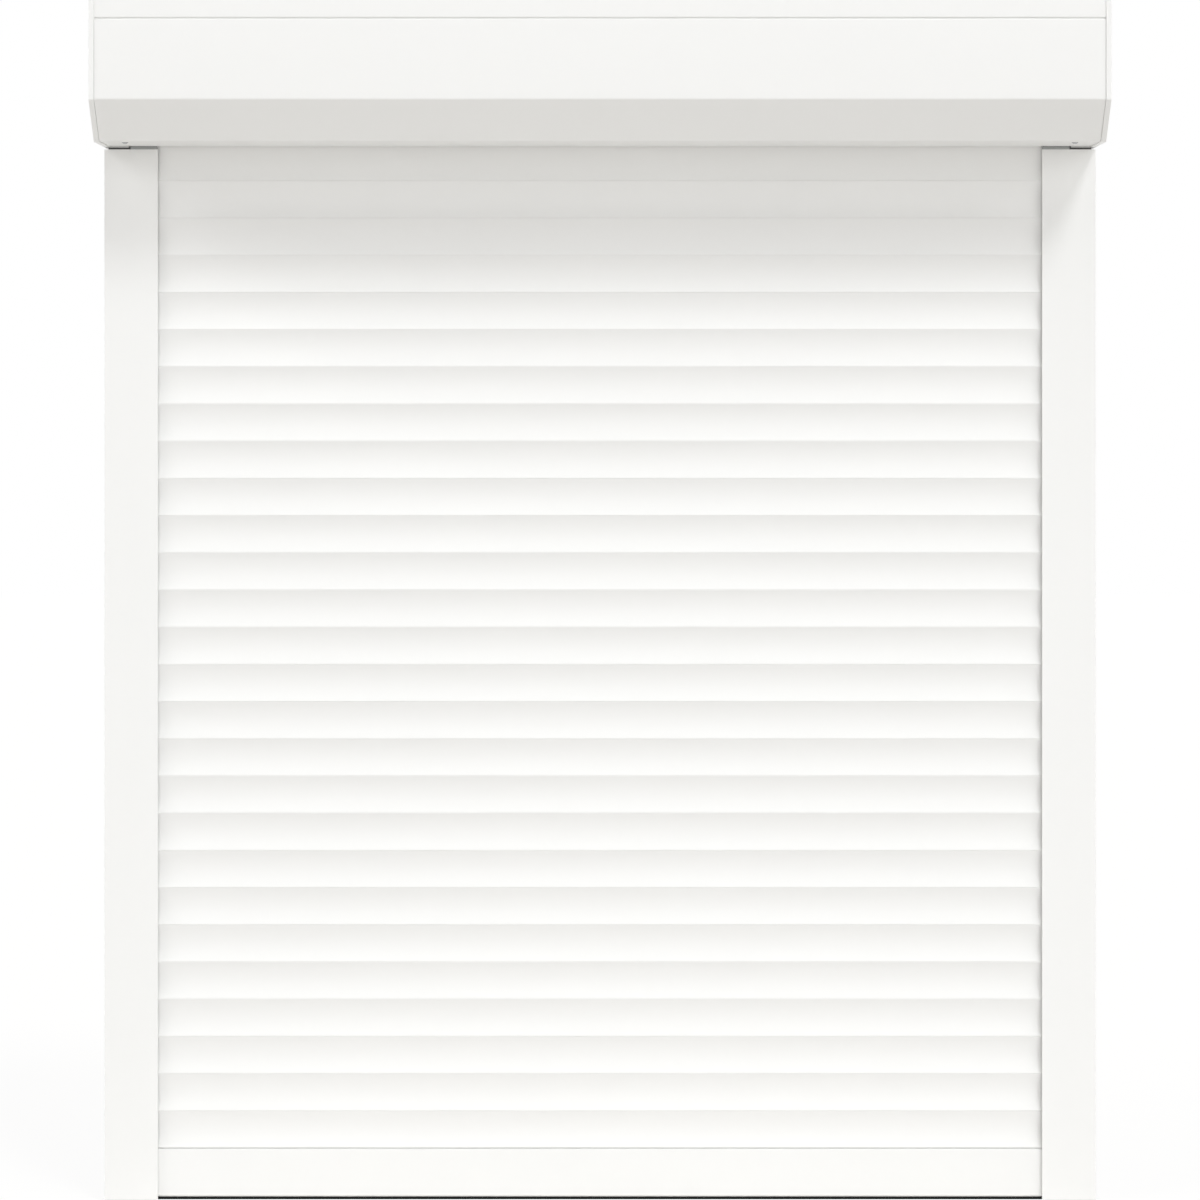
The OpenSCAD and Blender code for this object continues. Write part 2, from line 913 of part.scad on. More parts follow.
// Plug in the idle end of the axle with the pin that turns in the ball bearing
module idler_capsule() {
    flange_x = tube_x + flange_t;
    shoulder_x = cap_in - seat_depth - fit_clear;
    pin_x = cap_in - 2 * run_clear;
    color(dark_plastic)
        on_side(-1) {
            on_axle(tube_x - capsule_len, tube_x + join)
                octagon(plug_af);
            on_axle(tube_x, flange_x)
                octagon(axle_af);
            on_axle(tube_x, shoulder_x)
                circle(shoulder_r);
            on_axle(tube_x, pin_x)
                circle(pin_d / 2);
        }
}

// Draws its children, a ring's section, across the width of the ball bearing
module bearing_ring() {
    bearing_x = cap_in - run_clear;
    on_side(-1)
        on_axle(bearing_x - bearing_w, bearing_x)
            children();
}

module bearing_outer_ring() {
    color(bearing_steel)
        bearing_ring()
            difference() {
                circle(bearing_od / 2);
                circle(bearing_od / 2 - ring_t);
            }
}

module bearing_inner_ring() {
    color(bearing_steel)
        bearing_ring()
            difference() {
                circle(pin_d / 2 + run_clear + ring_t);
                circle(pin_d / 2 + run_clear);
            }
}

// Balls between the two rings
module bearing_balls() {
    mid_x = cap_in - run_clear - bearing_w / 2;
    color(bearing_steel)
        for (i = [0:ball_count - 1])
            translate([-mid_x, axle_y, axle_z])
                rotate([i * 360 / ball_count, 0, 0])
                    translate([0, ball_pcr, 0])
                        sphere(ball_r - run_clear);
}

// Tubular motor inside the axle, with the bore of its output shaft
module motor_tube() {
    color(bearing_steel)
        difference() {
            on_axle(head_x - motor_len, head_x)
                circle(motor_d / 2);
            on_axle(head_x - motor_len - join, head_x - motor_len + output_len + join)
                circle(output_r + run_clear);
        }
}

// Head of the motor with its square stub and the socket of the supply lead
module motor_head() {
    face_x = cap_in - bracket_t - 2 * fit_clear;
    color(dark_plastic)
        difference() {
            union() {
                on_axle(head_x, face_x)
                    circle(head_r);
                on_axle(head_x, cap_in - fit_clear)
                    square(stub_w, center = true);
            }
            translate([face_x - socket_h, axle_y - socket_w / 2, axle_z + stub_w / 2 + 2 * fit_clear])
                cube([socket_h + join, socket_w, socket_h]);
        }
}

// Axes of the two bracket screws, from the face of the bracket outwards
module bracket_screw_axes() {
    for (s = [-1, 1])
        translate([cap_in - bracket_t, axle_y + s * bracket_screw_r, axle_z])
            rotate([0, 90, 0])
                children();
}

// Steel plate on the right end cap that holds the motor's stub
module motor_bracket() {
    color(galvanised)
        difference() {
            on_axle(cap_in - bracket_t, cap_in)
                difference() {
                    circle(bracket_r);
                    square(stub_w + 2 * fit_clear, center = true);
                }
            bracket_screw_axes()
                translate([0, 0, -join])
                    cylinder(d = screw_hole_d, h = bracket_t + 2 * join);
        }
}

// Pan-head screws that hold the motor bracket
module bracket_screws() {
    color(bearing_steel)
        bracket_screw_axes() {
            cylinder(d = screw_shank_d, h = bracket_screw_len);
            translate([0, 0, -bracket_head_h])
                cylinder(d = bracket_head_d, h = bracket_head_h);
        }
}

// Ring that the axle turns on the motor, which counts the turns for the end stops
module limit_crown() {
    color(dark_plastic)
        on_axle(tube_x - crown_inset - crown_w, tube_x - crown_inset)
            difference() {
                octagon(plug_af);
                circle(motor_d / 2 + run_clear);
            }
}

// Octagonal wheel on the motor's output shaft, which drives the axle
module drive_wheel() {
    end_x = head_x - motor_len - wheel_gap;
    color(dark_plastic) {
        on_axle(end_x - wheel_w, end_x)
            octagon(plug_af);
        on_axle(end_x - join, end_x + wheel_gap + output_len)
            circle(output_r);
    }
}

// Spring-steel straps from the slots of the axle to the bead of the top slat
module hanger_straps() {
    flat = axle_af / 2 + strap_clear;
    corner = flat * tan(180 / 8);
    bead = [ridge_y + neck_u, curtain_top + bead_v];
    curl_r = bead_r + curl_clear;
    top = [axle_y, axle_z];
    tie = bead + (curl_r + curl_wall / 2) * [cos(curl_turn), sin(curl_turn)] - top;
    path = [[0, flat, 0], [corner, flat, 0], [flat, corner, 0], [tie[0], tie[1], 0]];
    tab = axle_wall + strap_clear;
    color(galvanised)
        for (x = hanger_xs())
            along_x(x - hanger_w / 2 + fit_clear, x + hanger_w / 2 - fit_clear) {
                translate(top) {
                    sheet(path, strap_t);
                    translate([-strap_t / 2, flat - tab])
                        square([strap_t, tab + strap_t / 2]);
                }
                translate(bead)
                    difference() {
                        circle(curl_r + curl_wall);
                        circle(curl_r);
                        translate([-neck_t / 2 - curl_mouth, -2 * curl_r])
                            square([neck_t + 2 * curl_mouth, 2 * curl_r]);
                    }
            }
}

box_housing();
inspection_cover();
left_end_cap();
right_end_cap();
housing_rivets();
cover_screws();
outlet_strip();
left_guide_rail();
right_guide_rail();
left_rail_seals();
right_rail_seals();
left_inlet_funnel();
right_inlet_funnel();
left_rail_foot();
right_rail_foot();
axle_tube();
idler_capsule();
bearing_outer_ring();
bearing_balls();
bearing_inner_ring();
motor_tube();
motor_head();
motor_bracket();
bracket_screws();
limit_crown();
drive_wheel();
hanger_straps();
for (i = [1:slat_count]) slat(i);
slat_foam();
slat_end_locks();
bottom_bar();
bottom_seal();
bar_end_plugs();
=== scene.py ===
"""Looks of a front-mounted exterior roller shutter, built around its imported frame.

The frame gives every place and size that it holds, in metres: +X is right, +Y points to the wall, +Z is up.
Sheets, slats and seals are outlines carried along the shutter, fasteners are turned profiles, and the
remaining pieces are the frame's own solids with softened edges and a finish of their own.
"""
import json
import math

import bpy
import numpy as np
from bpy.props import FloatProperty, FloatVectorProperty, PointerProperty
from mathutils.geometry import tessellate_polygon
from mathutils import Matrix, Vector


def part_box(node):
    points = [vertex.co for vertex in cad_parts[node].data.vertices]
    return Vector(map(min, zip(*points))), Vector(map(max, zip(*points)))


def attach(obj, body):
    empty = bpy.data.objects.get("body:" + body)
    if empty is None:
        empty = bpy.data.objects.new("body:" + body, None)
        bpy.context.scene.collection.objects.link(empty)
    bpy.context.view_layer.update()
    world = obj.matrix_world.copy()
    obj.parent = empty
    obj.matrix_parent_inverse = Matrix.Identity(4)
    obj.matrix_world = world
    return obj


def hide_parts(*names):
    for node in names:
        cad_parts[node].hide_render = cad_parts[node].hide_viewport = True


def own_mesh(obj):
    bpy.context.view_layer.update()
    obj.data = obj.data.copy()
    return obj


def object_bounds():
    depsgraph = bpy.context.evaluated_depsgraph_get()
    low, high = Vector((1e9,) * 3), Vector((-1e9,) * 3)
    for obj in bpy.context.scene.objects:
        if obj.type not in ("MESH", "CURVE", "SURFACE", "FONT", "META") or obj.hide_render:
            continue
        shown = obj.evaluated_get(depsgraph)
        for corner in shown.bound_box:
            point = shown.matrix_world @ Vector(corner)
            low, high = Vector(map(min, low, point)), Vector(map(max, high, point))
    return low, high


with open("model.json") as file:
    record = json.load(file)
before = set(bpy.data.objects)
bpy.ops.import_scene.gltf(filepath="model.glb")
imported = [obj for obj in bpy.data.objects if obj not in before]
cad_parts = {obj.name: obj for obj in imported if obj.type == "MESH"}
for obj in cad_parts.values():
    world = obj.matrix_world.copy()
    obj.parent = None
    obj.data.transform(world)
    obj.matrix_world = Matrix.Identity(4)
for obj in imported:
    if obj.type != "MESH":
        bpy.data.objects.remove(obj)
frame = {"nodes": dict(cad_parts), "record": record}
CAD_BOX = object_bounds()

bl_info = {
    "name": "Roller Shutter",
    "version": (1, 0, 0),
    "blender": (4, 5, 0),
    "location": "View3D > Sidebar > Shutter",
    "description": "Dresses the packed frame of a front-mounted roller shutter",
    "category": "Object",
}

MM = 0.001
SLOT_OF = {part["node"]: part["material_slot"] for part in frame["record"]["subparts"]}
BODY_OF = {node: body for body, nodes in frame["record"]["behaviour"]["bodies"].items() for node in nodes}
SLATS = sorted(node for node in frame["nodes"] if node[:5] == "slat_" and node[5:].isdigit())
SIDES = ("left", "right")
STRAPS = 3

# Distance within which points are one, angle within which faces are one plane, and the angle past which an
# edge is rounded
WELD_WITHIN = 0.001 * MM
FLAT_WITHIN = math.radians(0.05)
ROUND_PAST = math.radians(40)


def measured_pitch():
    """Height from one slat of the frame to the next."""
    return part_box(SLATS[1])[0].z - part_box(SLATS[0])[0].z


def length(name, description, default):
    """A size in metres that a user may change."""
    return FloatProperty(name=name, description=description, default=default, min=0.0, subtype="DISTANCE",
                         unit="LENGTH", precision=5)


def colour(name, description, default):
    """A linear colour that a user may change."""
    return FloatVectorProperty(name=name, description=description, default=default, min=0.0, max=1.0, size=3,
                               subtype="COLOR")


def share(name, description, default, top=1.0):
    """A plain number from nought to its top that a user may change."""
    return FloatProperty(name=name, description=description, default=default, min=0.0, max=top,
                         subtype="FACTOR" if top == 1.0 else "NONE")


class ShutterSizes(bpy.types.PropertyGroup):
    """Sizes of the pieces that are made here, where the frame's boxes don't give them."""
    sheet: length("Sheet", "Thickness of the box sheets", 1 * MM)
    bend: length("Bend", "Outer radius of the box sheets' bends", 2 * MM)
    slant_bend: length("Slant bend", "Outer radius between the cover's front and slanted face", 3.5 * MM)
    lip: length("Lip", "Height of the housing's front lip", 18.5 * MM)
    hem: length("Hem", "Depth of the housing's lower hem", 3 * MM)
    seam: length("Seam", "Open width between lip and cover", 0.95 * MM)
    lip_gap: length("Lip gap", "Open width between the housing and the end caps", 0.1 * MM)
    end_gap: length("End gap", "Open width between the cover and the end caps", 0.28 * MM)
    joggle: length("Joggle", "Step of the cover behind the lip", 1.2 * MM)
    slant: length("Slant", "Run and rise of the cover's slanted face", 37.4 * MM)
    cover_lip: length("Cover lip", "Height of the cover's rear upstand", 9 * MM)
    pitch: length("Pitch", "Height of one slat in the closed curtain", measured_pitch())
    sag: length("Sag", "Hollow of a slat's front", 2.7 * MM)
    body: length("Body", "Thickness of a slat", 5.3 * MM)
    skin: length("Skin", "Thickness of a slat's metal skin", 0.6 * MM)
    gap: length("Gap", "Gap between two slats", 0.1 * MM)
    edge: length("Edge", "Radius of a slat's rounded edges", 0.25 * MM)
    core_edge: length("Core edge", "Solid height above a slat's core", 1.4 * MM)
    neck_at: length("Neck place", "Depth of the hook's neck behind the ridges", 3.8 * MM)
    neck: length("Neck", "Thickness of the hook's neck", 0.7 * MM)
    bead: length("Bead", "Radius of the hook's bead", 1 * MM)
    bead_at: length("Bead place", "Height of the bead above the slat", 4.2 * MM)
    mouth: length("Mouth", "Width of the pocket's mouth", 1.5 * MM)
    mouth_high: length("Mouth height", "Height of the pocket's mouth", 1.8 * MM)
    pocket: length("Pocket", "Width of the pocket", 2.8 * MM)
    pocket_high: length("Pocket height", "Height of the pocket", 6.8 * MM)
    foam_fit: length("Foam fit", "Clearance round a foam core", 0.25 * MM)
    seal_foot: length("Seal foot", "Width of the seal's foot in the bar", 4.6 * MM)
    seal_neck: length("Seal neck", "Width of the seal's neck", 3.2 * MM)
    seal_wall: length("Seal wall", "Wall of the seal's hollow lip", 1.4 * MM)
    seal_round: length("Seal rounding", "Radius of the lip's lower corners", 0.6 * MM)
    seal_bore: length("Seal bore", "Radius of the lip's hollow", 0.7 * MM)
    screw_head: length("Screw head", "Diameter of a cover screw's head", 7 * MM)
    screw_rise: length("Screw rise", "Height of a cover screw's head", 1.6 * MM)
    screw_shank: length("Screw shank", "Diameter of a cover screw's shank", 3.9 * MM)
    recess: length("Recess", "Width of one arm of the cross recess", 1.1 * MM)
    rivet_head: length("Rivet head", "Diameter of a rivet's head", 6 * MM)
    rivet_rise: length("Rivet rise", "Height of a rivet's head", 0.8 * MM)
    rivet_shank: length("Rivet shank", "Diameter of a rivet's shank", 3.2 * MM)
    rivet_length: length("Rivet length", "Length of a rivet's shank", 5 * MM)
    rivet_below: length("Rivet place", "Distance of the upper back rivets below the top", 30 * MM)
    strap: length("Strap", "Thickness of a hanger strap", 0.5 * MM)
    strap_fit: length("Strap fit", "Clearance of a strap on the axle and of its curl on the bead", 0.2 * MM)
    strap_wide: length("Strap width", "Width of a hanger strap", 24.8 * MM)
    strap_every: length("Strap spacing", "Distance from one hanger strap to the next", 300 * MM)
    # painted shade: below this depth under the cover the end caps are coloured dark, partly for the uncoated
    # tenon and partly for the shade in the gap above the rails
    coat_end: length("Coat end", "How far the end caps' coat runs on below the cover", 1.05 * MM)
    edge_thin: length("Thin edges", "Rounding of the edges of sheets and small metal pieces", 0.2 * MM)
    edge_cap: length("Cap edges", "Rounding of the cast end caps' edges", 0.25 * MM)
    edge_metal: length("Metal edges", "Rounding of extruded edges", 0.4 * MM)
    edge_plastic: length("Plastic edges", "Rounding of moulded edges", 0.3 * MM)


class ShutterColours(bpy.types.PropertyGroup):
    """Linear colours of the finishes."""
    coat: colour("Powder coat", "Housing, caps, rails and bottom bar", (0.892, 0.893, 0.882))
    slat: colour("Slat coat", "Coil-coated slats", (0.892, 0.893, 0.882))
    # painted shade: this near-black colour is partly the uncoated tenon and partly the shade in the narrow
    # gap between box and rails
    bare: colour("Bare tenon", "Uncoated tenons of the end caps", (0.09, 0.09, 0.085))
    zinc: colour("Zinc", "Galvanised axle, bracket and straps", (0.56, 0.58, 0.6))
    steel: colour("Steel", "Screws, bearing and motor tube", (0.42, 0.42, 0.43))
    aluminium: colour("Aluminium", "Blind rivets", (0.76, 0.77, 0.78))
    plastic: colour("Grey plastic", "Funnels, feet, locks and plugs", (0.4, 0.41, 0.41))
    dark: colour("Dark plastic", "Capsule, motor head, crown and wheel", (0.03, 0.03, 0.033))
    pile: colour("Pile", "Seal strips in the rails", (0.22, 0.22, 0.22))
    rubber: colour("Rubber", "Bottom seal", (0.01, 0.01, 0.01))
    foam: colour("Foam", "Slat cores", (0.75, 0.62, 0.33))


class ShutterStage(bpy.types.PropertyGroup):
    """Camera, light and floor."""
    distance: length("Distance", "Camera to the fronts of the rails", 3.69)
    height: length("Height", "Camera above the sill", 0.789)
    lens: share("Lens", "Focal length in millimetres on a 36 mm sensor", 111.4, top=500.0)
    drop: share("Drop", "Downward shift of the picture, as a share of its width", 0.16)
    sky: share("Studio", "Brightness of the studio all round", 0.305, top=5.0)
    sky_back: share("Studio back", "Added brightness of the studio behind the shutter", 0.35, top=5.0)
    key: share("Key", "Strength of the lamp at the upper right", 0.33, top=5.0)
    left: share("Left", "Strength of the broad lamp at the left", 0.273, top=5.0)
    right: share("Right", "Strength of the broad lamp at the far right", 0.133, top=5.0)
    low: share("Low", "Strength of the broad lamp low at the right", 0.152, top=5.0)
    front: share("Front", "Strength of the broad lamp behind the camera", 0.13, top=5.0)
    cool: colour("Cool light", "Colour of the key lamp", (0.965, 0.985, 1.0))
    floor: colour("Floor", "Colour of the floor", (0.845, 0.82, 0.785))
    floor_reach: length("Floor reach", "Half the width of the floor", 12.0)
    floor_drop: length("Floor drop", "Height of the feet above the floor", 0.2 * MM)
    floor_white: share("Floor white", "Brightness of the floor as it is seen", 1.04, top=5.0)
    shadow: share("Shadow", "How much of the shutter's shadow shows on the white floor", 0.12)


def sizes():
    """The current sizes."""
    return bpy.context.scene.shutter_sizes


def colours():
    """The current colours."""
    return bpy.context.scene.shutter_colours


def arc(centre, radius, start, end, steps):
    """Points on a circle about centre, at even angles from start to end, in degrees."""
    turn = np.radians(np.linspace(start, end, steps + 1))
    return np.array(centre) + radius * np.stack([np.cos(turn), np.sin(turn)], axis=1)


def unit(vector):
    """The vector at length one."""
    return vector / np.linalg.norm(vector)


def left_of(vector):
    """The plane vector after a quarter turn to the left."""
    return np.array([-vector[1], vector[0]])


def bent_line(corners, radii, steps=8):
    """A line through corners, each rounded by its radius: the arc that touches both neighbouring runs."""
    corners = np.array(corners)
    line = [corners[:1]]
    for before, corner, after, radius in zip(corners[:-2], corners[1:-1], corners[2:], radii):
        into, out = unit(corner - before), unit(after - corner)
        turn = math.atan2(into[0] * out[1] - into[1] * out[0], into @ out)
        start = corner - into * radius * math.tan(abs(turn) / 2)
        centre = start + math.copysign(radius, turn) * left_of(into)
        first = math.degrees(math.atan2(*(start - centre)[::-1]))
        line.append(arc(centre, radius, first, first + math.degrees(turn), steps))
    return np.concatenate(line + [corners[-1:]])


def sheet_loop(line, thickness):
    """Closed outline of a sheet: the line, and back along the line moved to its left by the thickness.

    Each point moves along the mitre of its two neighbouring runs, so the wall is equally thick all along.
    """
    runs = np.diff(line, axis=0)
    runs /= np.linalg.norm(runs, axis=1, keepdims=True)
    sides = np.stack([-runs[:, 1], runs[:, 0]], axis=1)
    before, after = np.vstack([sides[:1], sides]), np.vstack([sides, sides[-1:]])
    mitre = (before + after) / (1 + np.sum(before * after, axis=1, keepdims=True))
    return np.concatenate([line, (line + thickness * mitre)[::-1]])


def new_piece(name, points, faces, smooth_below=35.0):
    """A mesh object at the origin, smooth but for the edges that turn by more than smooth_below degrees.

    The faces come as a list of arrays of point numbers, with one face in each row.
    """
    mesh = bpy.data.meshes.new(name)
    mesh.from_pydata(points.tolist(), [], sum((part.tolist() for part in faces), []))
    mesh.polygons.foreach_set("use_smooth", np.ones(len(mesh.polygons), bool))
    mesh.set_sharp_from_angle(angle=math.radians(smooth_below))
    mesh.validate()
    mesh.update()
    piece = bpy.data.objects.new(name, mesh)
    bpy.context.scene.collection.objects.link(piece)
    return piece


def prism_mesh(loops, low, high):
    """Points and faces of outlines in the Y-Z plane carried along X from low to high.

    The first loop is the outside, counter-clockwise, and the others are hollows, clockwise. Each wall quad
    joins two neighbouring points of a loop at both ends. The ends are the outline's own triangles.
    """
    ring = np.concatenate(loops)
    count = len(ring)
    points = np.zeros((2 * count, 3))
    points[:, 0] = np.repeat([low, high], count)
    points[:, 1:] = np.tile(ring, (2, 1))
    starts = np.cumsum([0] + [len(loop) for loop in loops[:-1]])
    here = np.arange(count)
    following = np.concatenate([first + np.roll(np.arange(len(loop)), -1)
                                for first, loop in zip(starts, loops)])
    walls = np.stack([here, following, following + count, here + count], axis=1)
    caps = np.array(tessellate_polygon([loop.tolist() for loop in loops]))
    a, b, c = (ring[caps[:, i]] for i in range(3))
    turned = (b - a)[:, 0] * (c - a)[:, 1] - (b - a)[:, 1] * (c - a)[:, 0] < 0
    caps[turned] = caps[turned][:, ::-1]
    return points, [walls, caps + count, caps[:, ::-1]]


def joined(meshes):
    """Several sets of points and faces as one."""
    points, faces, count = [], [], 0
    for some_points, some_faces in meshes:
        points.append(some_points)
        faces += [part + count for part in some_faces]
        count += len(some_points)
    return np.concatenate(points), faces


def prism(name, loops, low, high):
    """A piece made of outlines carried along X."""
    return new_piece(name, *prism_mesh(loops, low, high))


def turned_mesh(profile, steps=64):
    """Points and faces of a profile of [radius, height] turned about Z, closed at both ends on the axis."""
    turn = np.linspace(0, 2 * math.pi, steps, endpoint=False)
    rows = profile[1:-1]
    ring = np.stack([np.cos(turn), np.sin(turn)], axis=1)
    grid = np.concatenate([rows[:, None, :1] * ring, np.repeat(rows[:, None, 1:], steps, axis=1)], axis=2)
    ends = np.array([[0, 0, profile[0, 1]], [0, 0, profile[-1, 1]]])
    points = np.concatenate([grid.reshape(-1, 3), ends])
    index = np.arange(len(rows) * steps).reshape(len(rows), steps)
    beside = np.roll(index, -1, axis=1)
    quads = np.stack([index[:-1], beside[:-1], beside[1:], index[1:]], axis=-1).reshape(-1, 4)
    first, last = len(points) - 2, len(points) - 1
    start = np.stack([beside[0], index[0], np.full(steps, first)], axis=1)
    end = np.stack([index[-1], beside[-1], np.full(steps, last)], axis=1)
    return points, [quads, start, end]


def stand_for(piece, *nodes):
    """Lets a piece take the place, the body and the finish of nodes of the frame."""
    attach(piece, BODY_OF[nodes[0]])
    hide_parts(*nodes)
    piece.data.materials.append(finish(SLOT_OF[nodes[0]]))


def soften(piece, width):
    """Rounds a piece's sharp edges by width."""
    bevel = piece.modifiers.new("Rounded edges", "BEVEL")
    bevel.width = width
    bevel.segments = 2
    bevel.limit_method = "ANGLE"
    bevel.angle_limit = ROUND_PAST
    bevel.harden_normals = True


def dress(node, width, look=None):
    """Keeps a node of the frame, and gives it rounded edges and its finish or a look.

    Its loose triangles are welded, and those in one plane joined, so that the rounding meets whole faces.
    """
    piece = frame["nodes"][node]
    weld = piece.modifiers.new("Weld", "WELD")
    weld.merge_threshold = WELD_WITHIN
    flat = piece.modifiers.new("Flat faces", "DECIMATE")
    flat.decimate_type = "DISSOLVE"
    flat.angle_limit = FLAT_WITHIN
    soften(piece, width)
    piece.material_slots[0].material = finish(look or SLOT_OF[node])


def add(tree, kind, place, **settings):
    """A node of the tree, with its settings and a place in the editor."""
    node = tree.nodes.new(kind)
    node.location = (200 * place[0], -200 * place[1])
    for name, value in settings.items():
        setattr(node, name, value)
    return node


def wire(tree, *pairs):
    """Links each pair of an output and an input."""
    for output, socket in pairs:
        tree.links.new(output, socket)


def group(name, inputs, outputs):
    """A shader group with named sockets, and its two end nodes. An input is a name, a kind and a default."""
    tree = bpy.data.node_groups.new(name, "ShaderNodeTree")
    for label, kind, default in inputs:
        socket = tree.interface.new_socket(label, in_out="INPUT", socket_type=kind)
        if default is not None:
            socket.default_value = default
    for label, kind in outputs:
        tree.interface.new_socket(label, in_out="OUTPUT", socket_type=kind)
    return tree, add(tree, "NodeGroupInput", (-4, 0)), add(tree, "NodeGroupOutput", (4, 0))


def coat_grain():
    """Orange peel of a baked coat: a coarse and a fine noise as height, and a slow noise as drift of tone."""
    tree, start, end = group(
        "Coat grain",
        [("Place", "NodeSocketVector", None), ("Peel size", "NodeSocketFloat", 700.0)],
        [("Height", "NodeSocketFloat"), ("Drift", "NodeSocketFloat")])
    peel = add(tree, "ShaderNodeTexNoise", (-2, 0))
    peel.inputs["Detail"].default_value = 1.5
    grain = add(tree, "ShaderNodeTexNoise", (-2, 2))
    grain.inputs["Detail"].default_value = 0.5
    finer = add(tree, "ShaderNodeMath", (-3, 2), operation="MULTIPLY")
    finer.inputs[1].default_value = 5.0
    blend = add(tree, "ShaderNodeMix", (0, 1))
    blend.inputs["Factor"].default_value = 0.3
    drift = add(tree, "ShaderNodeTexNoise", (-2, 4))
    drift.inputs["Scale"].default_value = 9.0
    drift.inputs["Detail"].default_value = 3.0
    place, peel_size = start.outputs["Place"], start.outputs["Peel size"]
    wire(tree, *((place, noise.inputs["Vector"]) for noise in (peel, grain, drift)),
         (peel_size, peel.inputs["Scale"]), (peel_size, finer.inputs[0]),
         (finer.outputs[0], grain.inputs["Scale"]),
         (peel.outputs["Fac"], blend.inputs["A"]), (grain.outputs["Fac"], blend.inputs["B"]),
         (blend.outputs["Result"], end.inputs["Height"]), (drift.outputs["Fac"], end.inputs["Drift"]))
    return tree


def drawn_lines():
    """Lines that rolling or brushing leaves along X: noise on a place that is squeezed along X."""
    tree, start, end = group(
        "Drawn lines",
        [("Place", "NodeSocketVector", None), ("Fineness", "NodeSocketFloat", 2500.0)],
        [("Lines", "NodeSocketFloat")])
    squeeze = add(tree, "ShaderNodeMapping", (-2, 0))
    squeeze.inputs["Scale"].default_value = (0.004, 1.0, 1.0)
    lines = add(tree, "ShaderNodeTexNoise", (0, 0))
    lines.inputs["Detail"].default_value = 2.0
    wire(tree, (start.outputs["Place"], squeeze.inputs["Vector"]),
         (squeeze.outputs["Vector"], lines.inputs["Vector"]),
         (start.outputs["Fineness"], lines.inputs["Scale"]), (lines.outputs["Fac"], end.inputs["Lines"]))
    return tree


def cell_speckle():
    """Cells of a moulded skin, zinc or foam: distance to the nearest middle, and a tone of each cell."""
    tree, start, end = group(
        "Cell speckle",
        [("Place", "NodeSocketVector", None), ("Fineness", "NodeSocketFloat", 900.0)],
        [("Height", "NodeSocketFloat"), ("Tone", "NodeSocketFloat")])
    cells = add(tree, "ShaderNodeTexVoronoi", (-1, 0))
    tone = add(tree, "ShaderNodeSeparateColor", (1, 1))
    wire(tree, (start.outputs["Place"], cells.inputs["Vector"]),
         (start.outputs["Fineness"], cells.inputs["Scale"]),
         (cells.outputs["Distance"], end.inputs["Height"]), (cells.outputs["Color"], tone.inputs["Color"]),
         (tone.outputs["Red"], end.inputs["Tone"]))
    return tree


def shared(make):
    """The shader group that a function makes, made once."""
    label = make.__name__.replace("_", " ").capitalize()
    return bpy.data.node_groups.get(label) or make()


class Finish:
    """A material under construction: its shader, its place on the object, and short ways to wire it."""

    def __init__(self, name, metallic=0.0):
        self.material = bpy.data.materials.new(name)
        self.material.use_nodes = True
        self.tree = self.material.node_tree
        self.shader = self.tree.nodes["Principled BSDF"]
        self.shader.inputs["Metallic"].default_value = metallic
        self.place = add(self.tree, "ShaderNodeTexCoord", (-6, 0)).outputs["Object"]

    def group(self, make, row, **values):
        """Places a shared group, with the object's place and its own values."""
        node = add(self.tree, "ShaderNodeGroup", (-4, row), node_tree=shared(make))
        wire(self.tree, (self.place, node.inputs["Place"]))
        for label, value in values.items():
            node.inputs[label.replace("_", " ")].default_value = value
        return node

    def tint(self, mask, tint, spread):
        """Base colour from tint less spread to tint plus spread, as the mask goes from 0 to 1."""
        mix = add(self.tree, "ShaderNodeMix", (-2, 0), data_type="RGBA")
        low, high = ([*(np.clip(np.array(tint) * (1 + sign * spread), 0, 1)), 1.0] for sign in (-1, 1))
        mix.inputs["A"].default_value = low
        mix.inputs["B"].default_value = high
        wire(self.tree, (mask, mix.inputs["Factor"]),
             (mix.outputs["Result"], self.shader.inputs["Base Color"]))

    def rough(self, mask, low, high):
        """Roughness from low to high, as the mask goes from 0 to 1."""
        spread = add(self.tree, "ShaderNodeMapRange", (-2, 2))
        spread.inputs["To Min"].default_value = low
        spread.inputs["To Max"].default_value = high
        wire(self.tree, (mask, spread.inputs["Value"]),
             (spread.outputs["Result"], self.shader.inputs["Roughness"]))

    def bump(self, height, depth, strength=1.0):
        """Bump of the given depth in metres from a height of 0 to 1."""
        bump = add(self.tree, "ShaderNodeBump", (-2, 4))
        bump.inputs["Distance"].default_value = depth
        bump.inputs["Strength"].default_value = strength
        wire(self.tree, (height, bump.inputs["Height"]),
             (bump.outputs["Normal"], self.shader.inputs["Normal"]))


def baked_coat(name):
    """Satin white powder coat: fine orange peel and a barely visible drift of tone and gloss."""
    made = Finish(name)
    grain = made.group(coat_grain, 0, Peel_size=650.0)
    made.tint(grain.outputs["Drift"], colours().coat, spread=0.008)
    made.rough(grain.outputs["Drift"], low=0.42, high=0.5)
    made.bump(grain.outputs["Height"], depth=0.02 * MM, strength=0.5)
    return made


def powder_coat():
    """The plain coat of housing, cover, rails and bottom bar."""
    return baked_coat("powder_coat").material


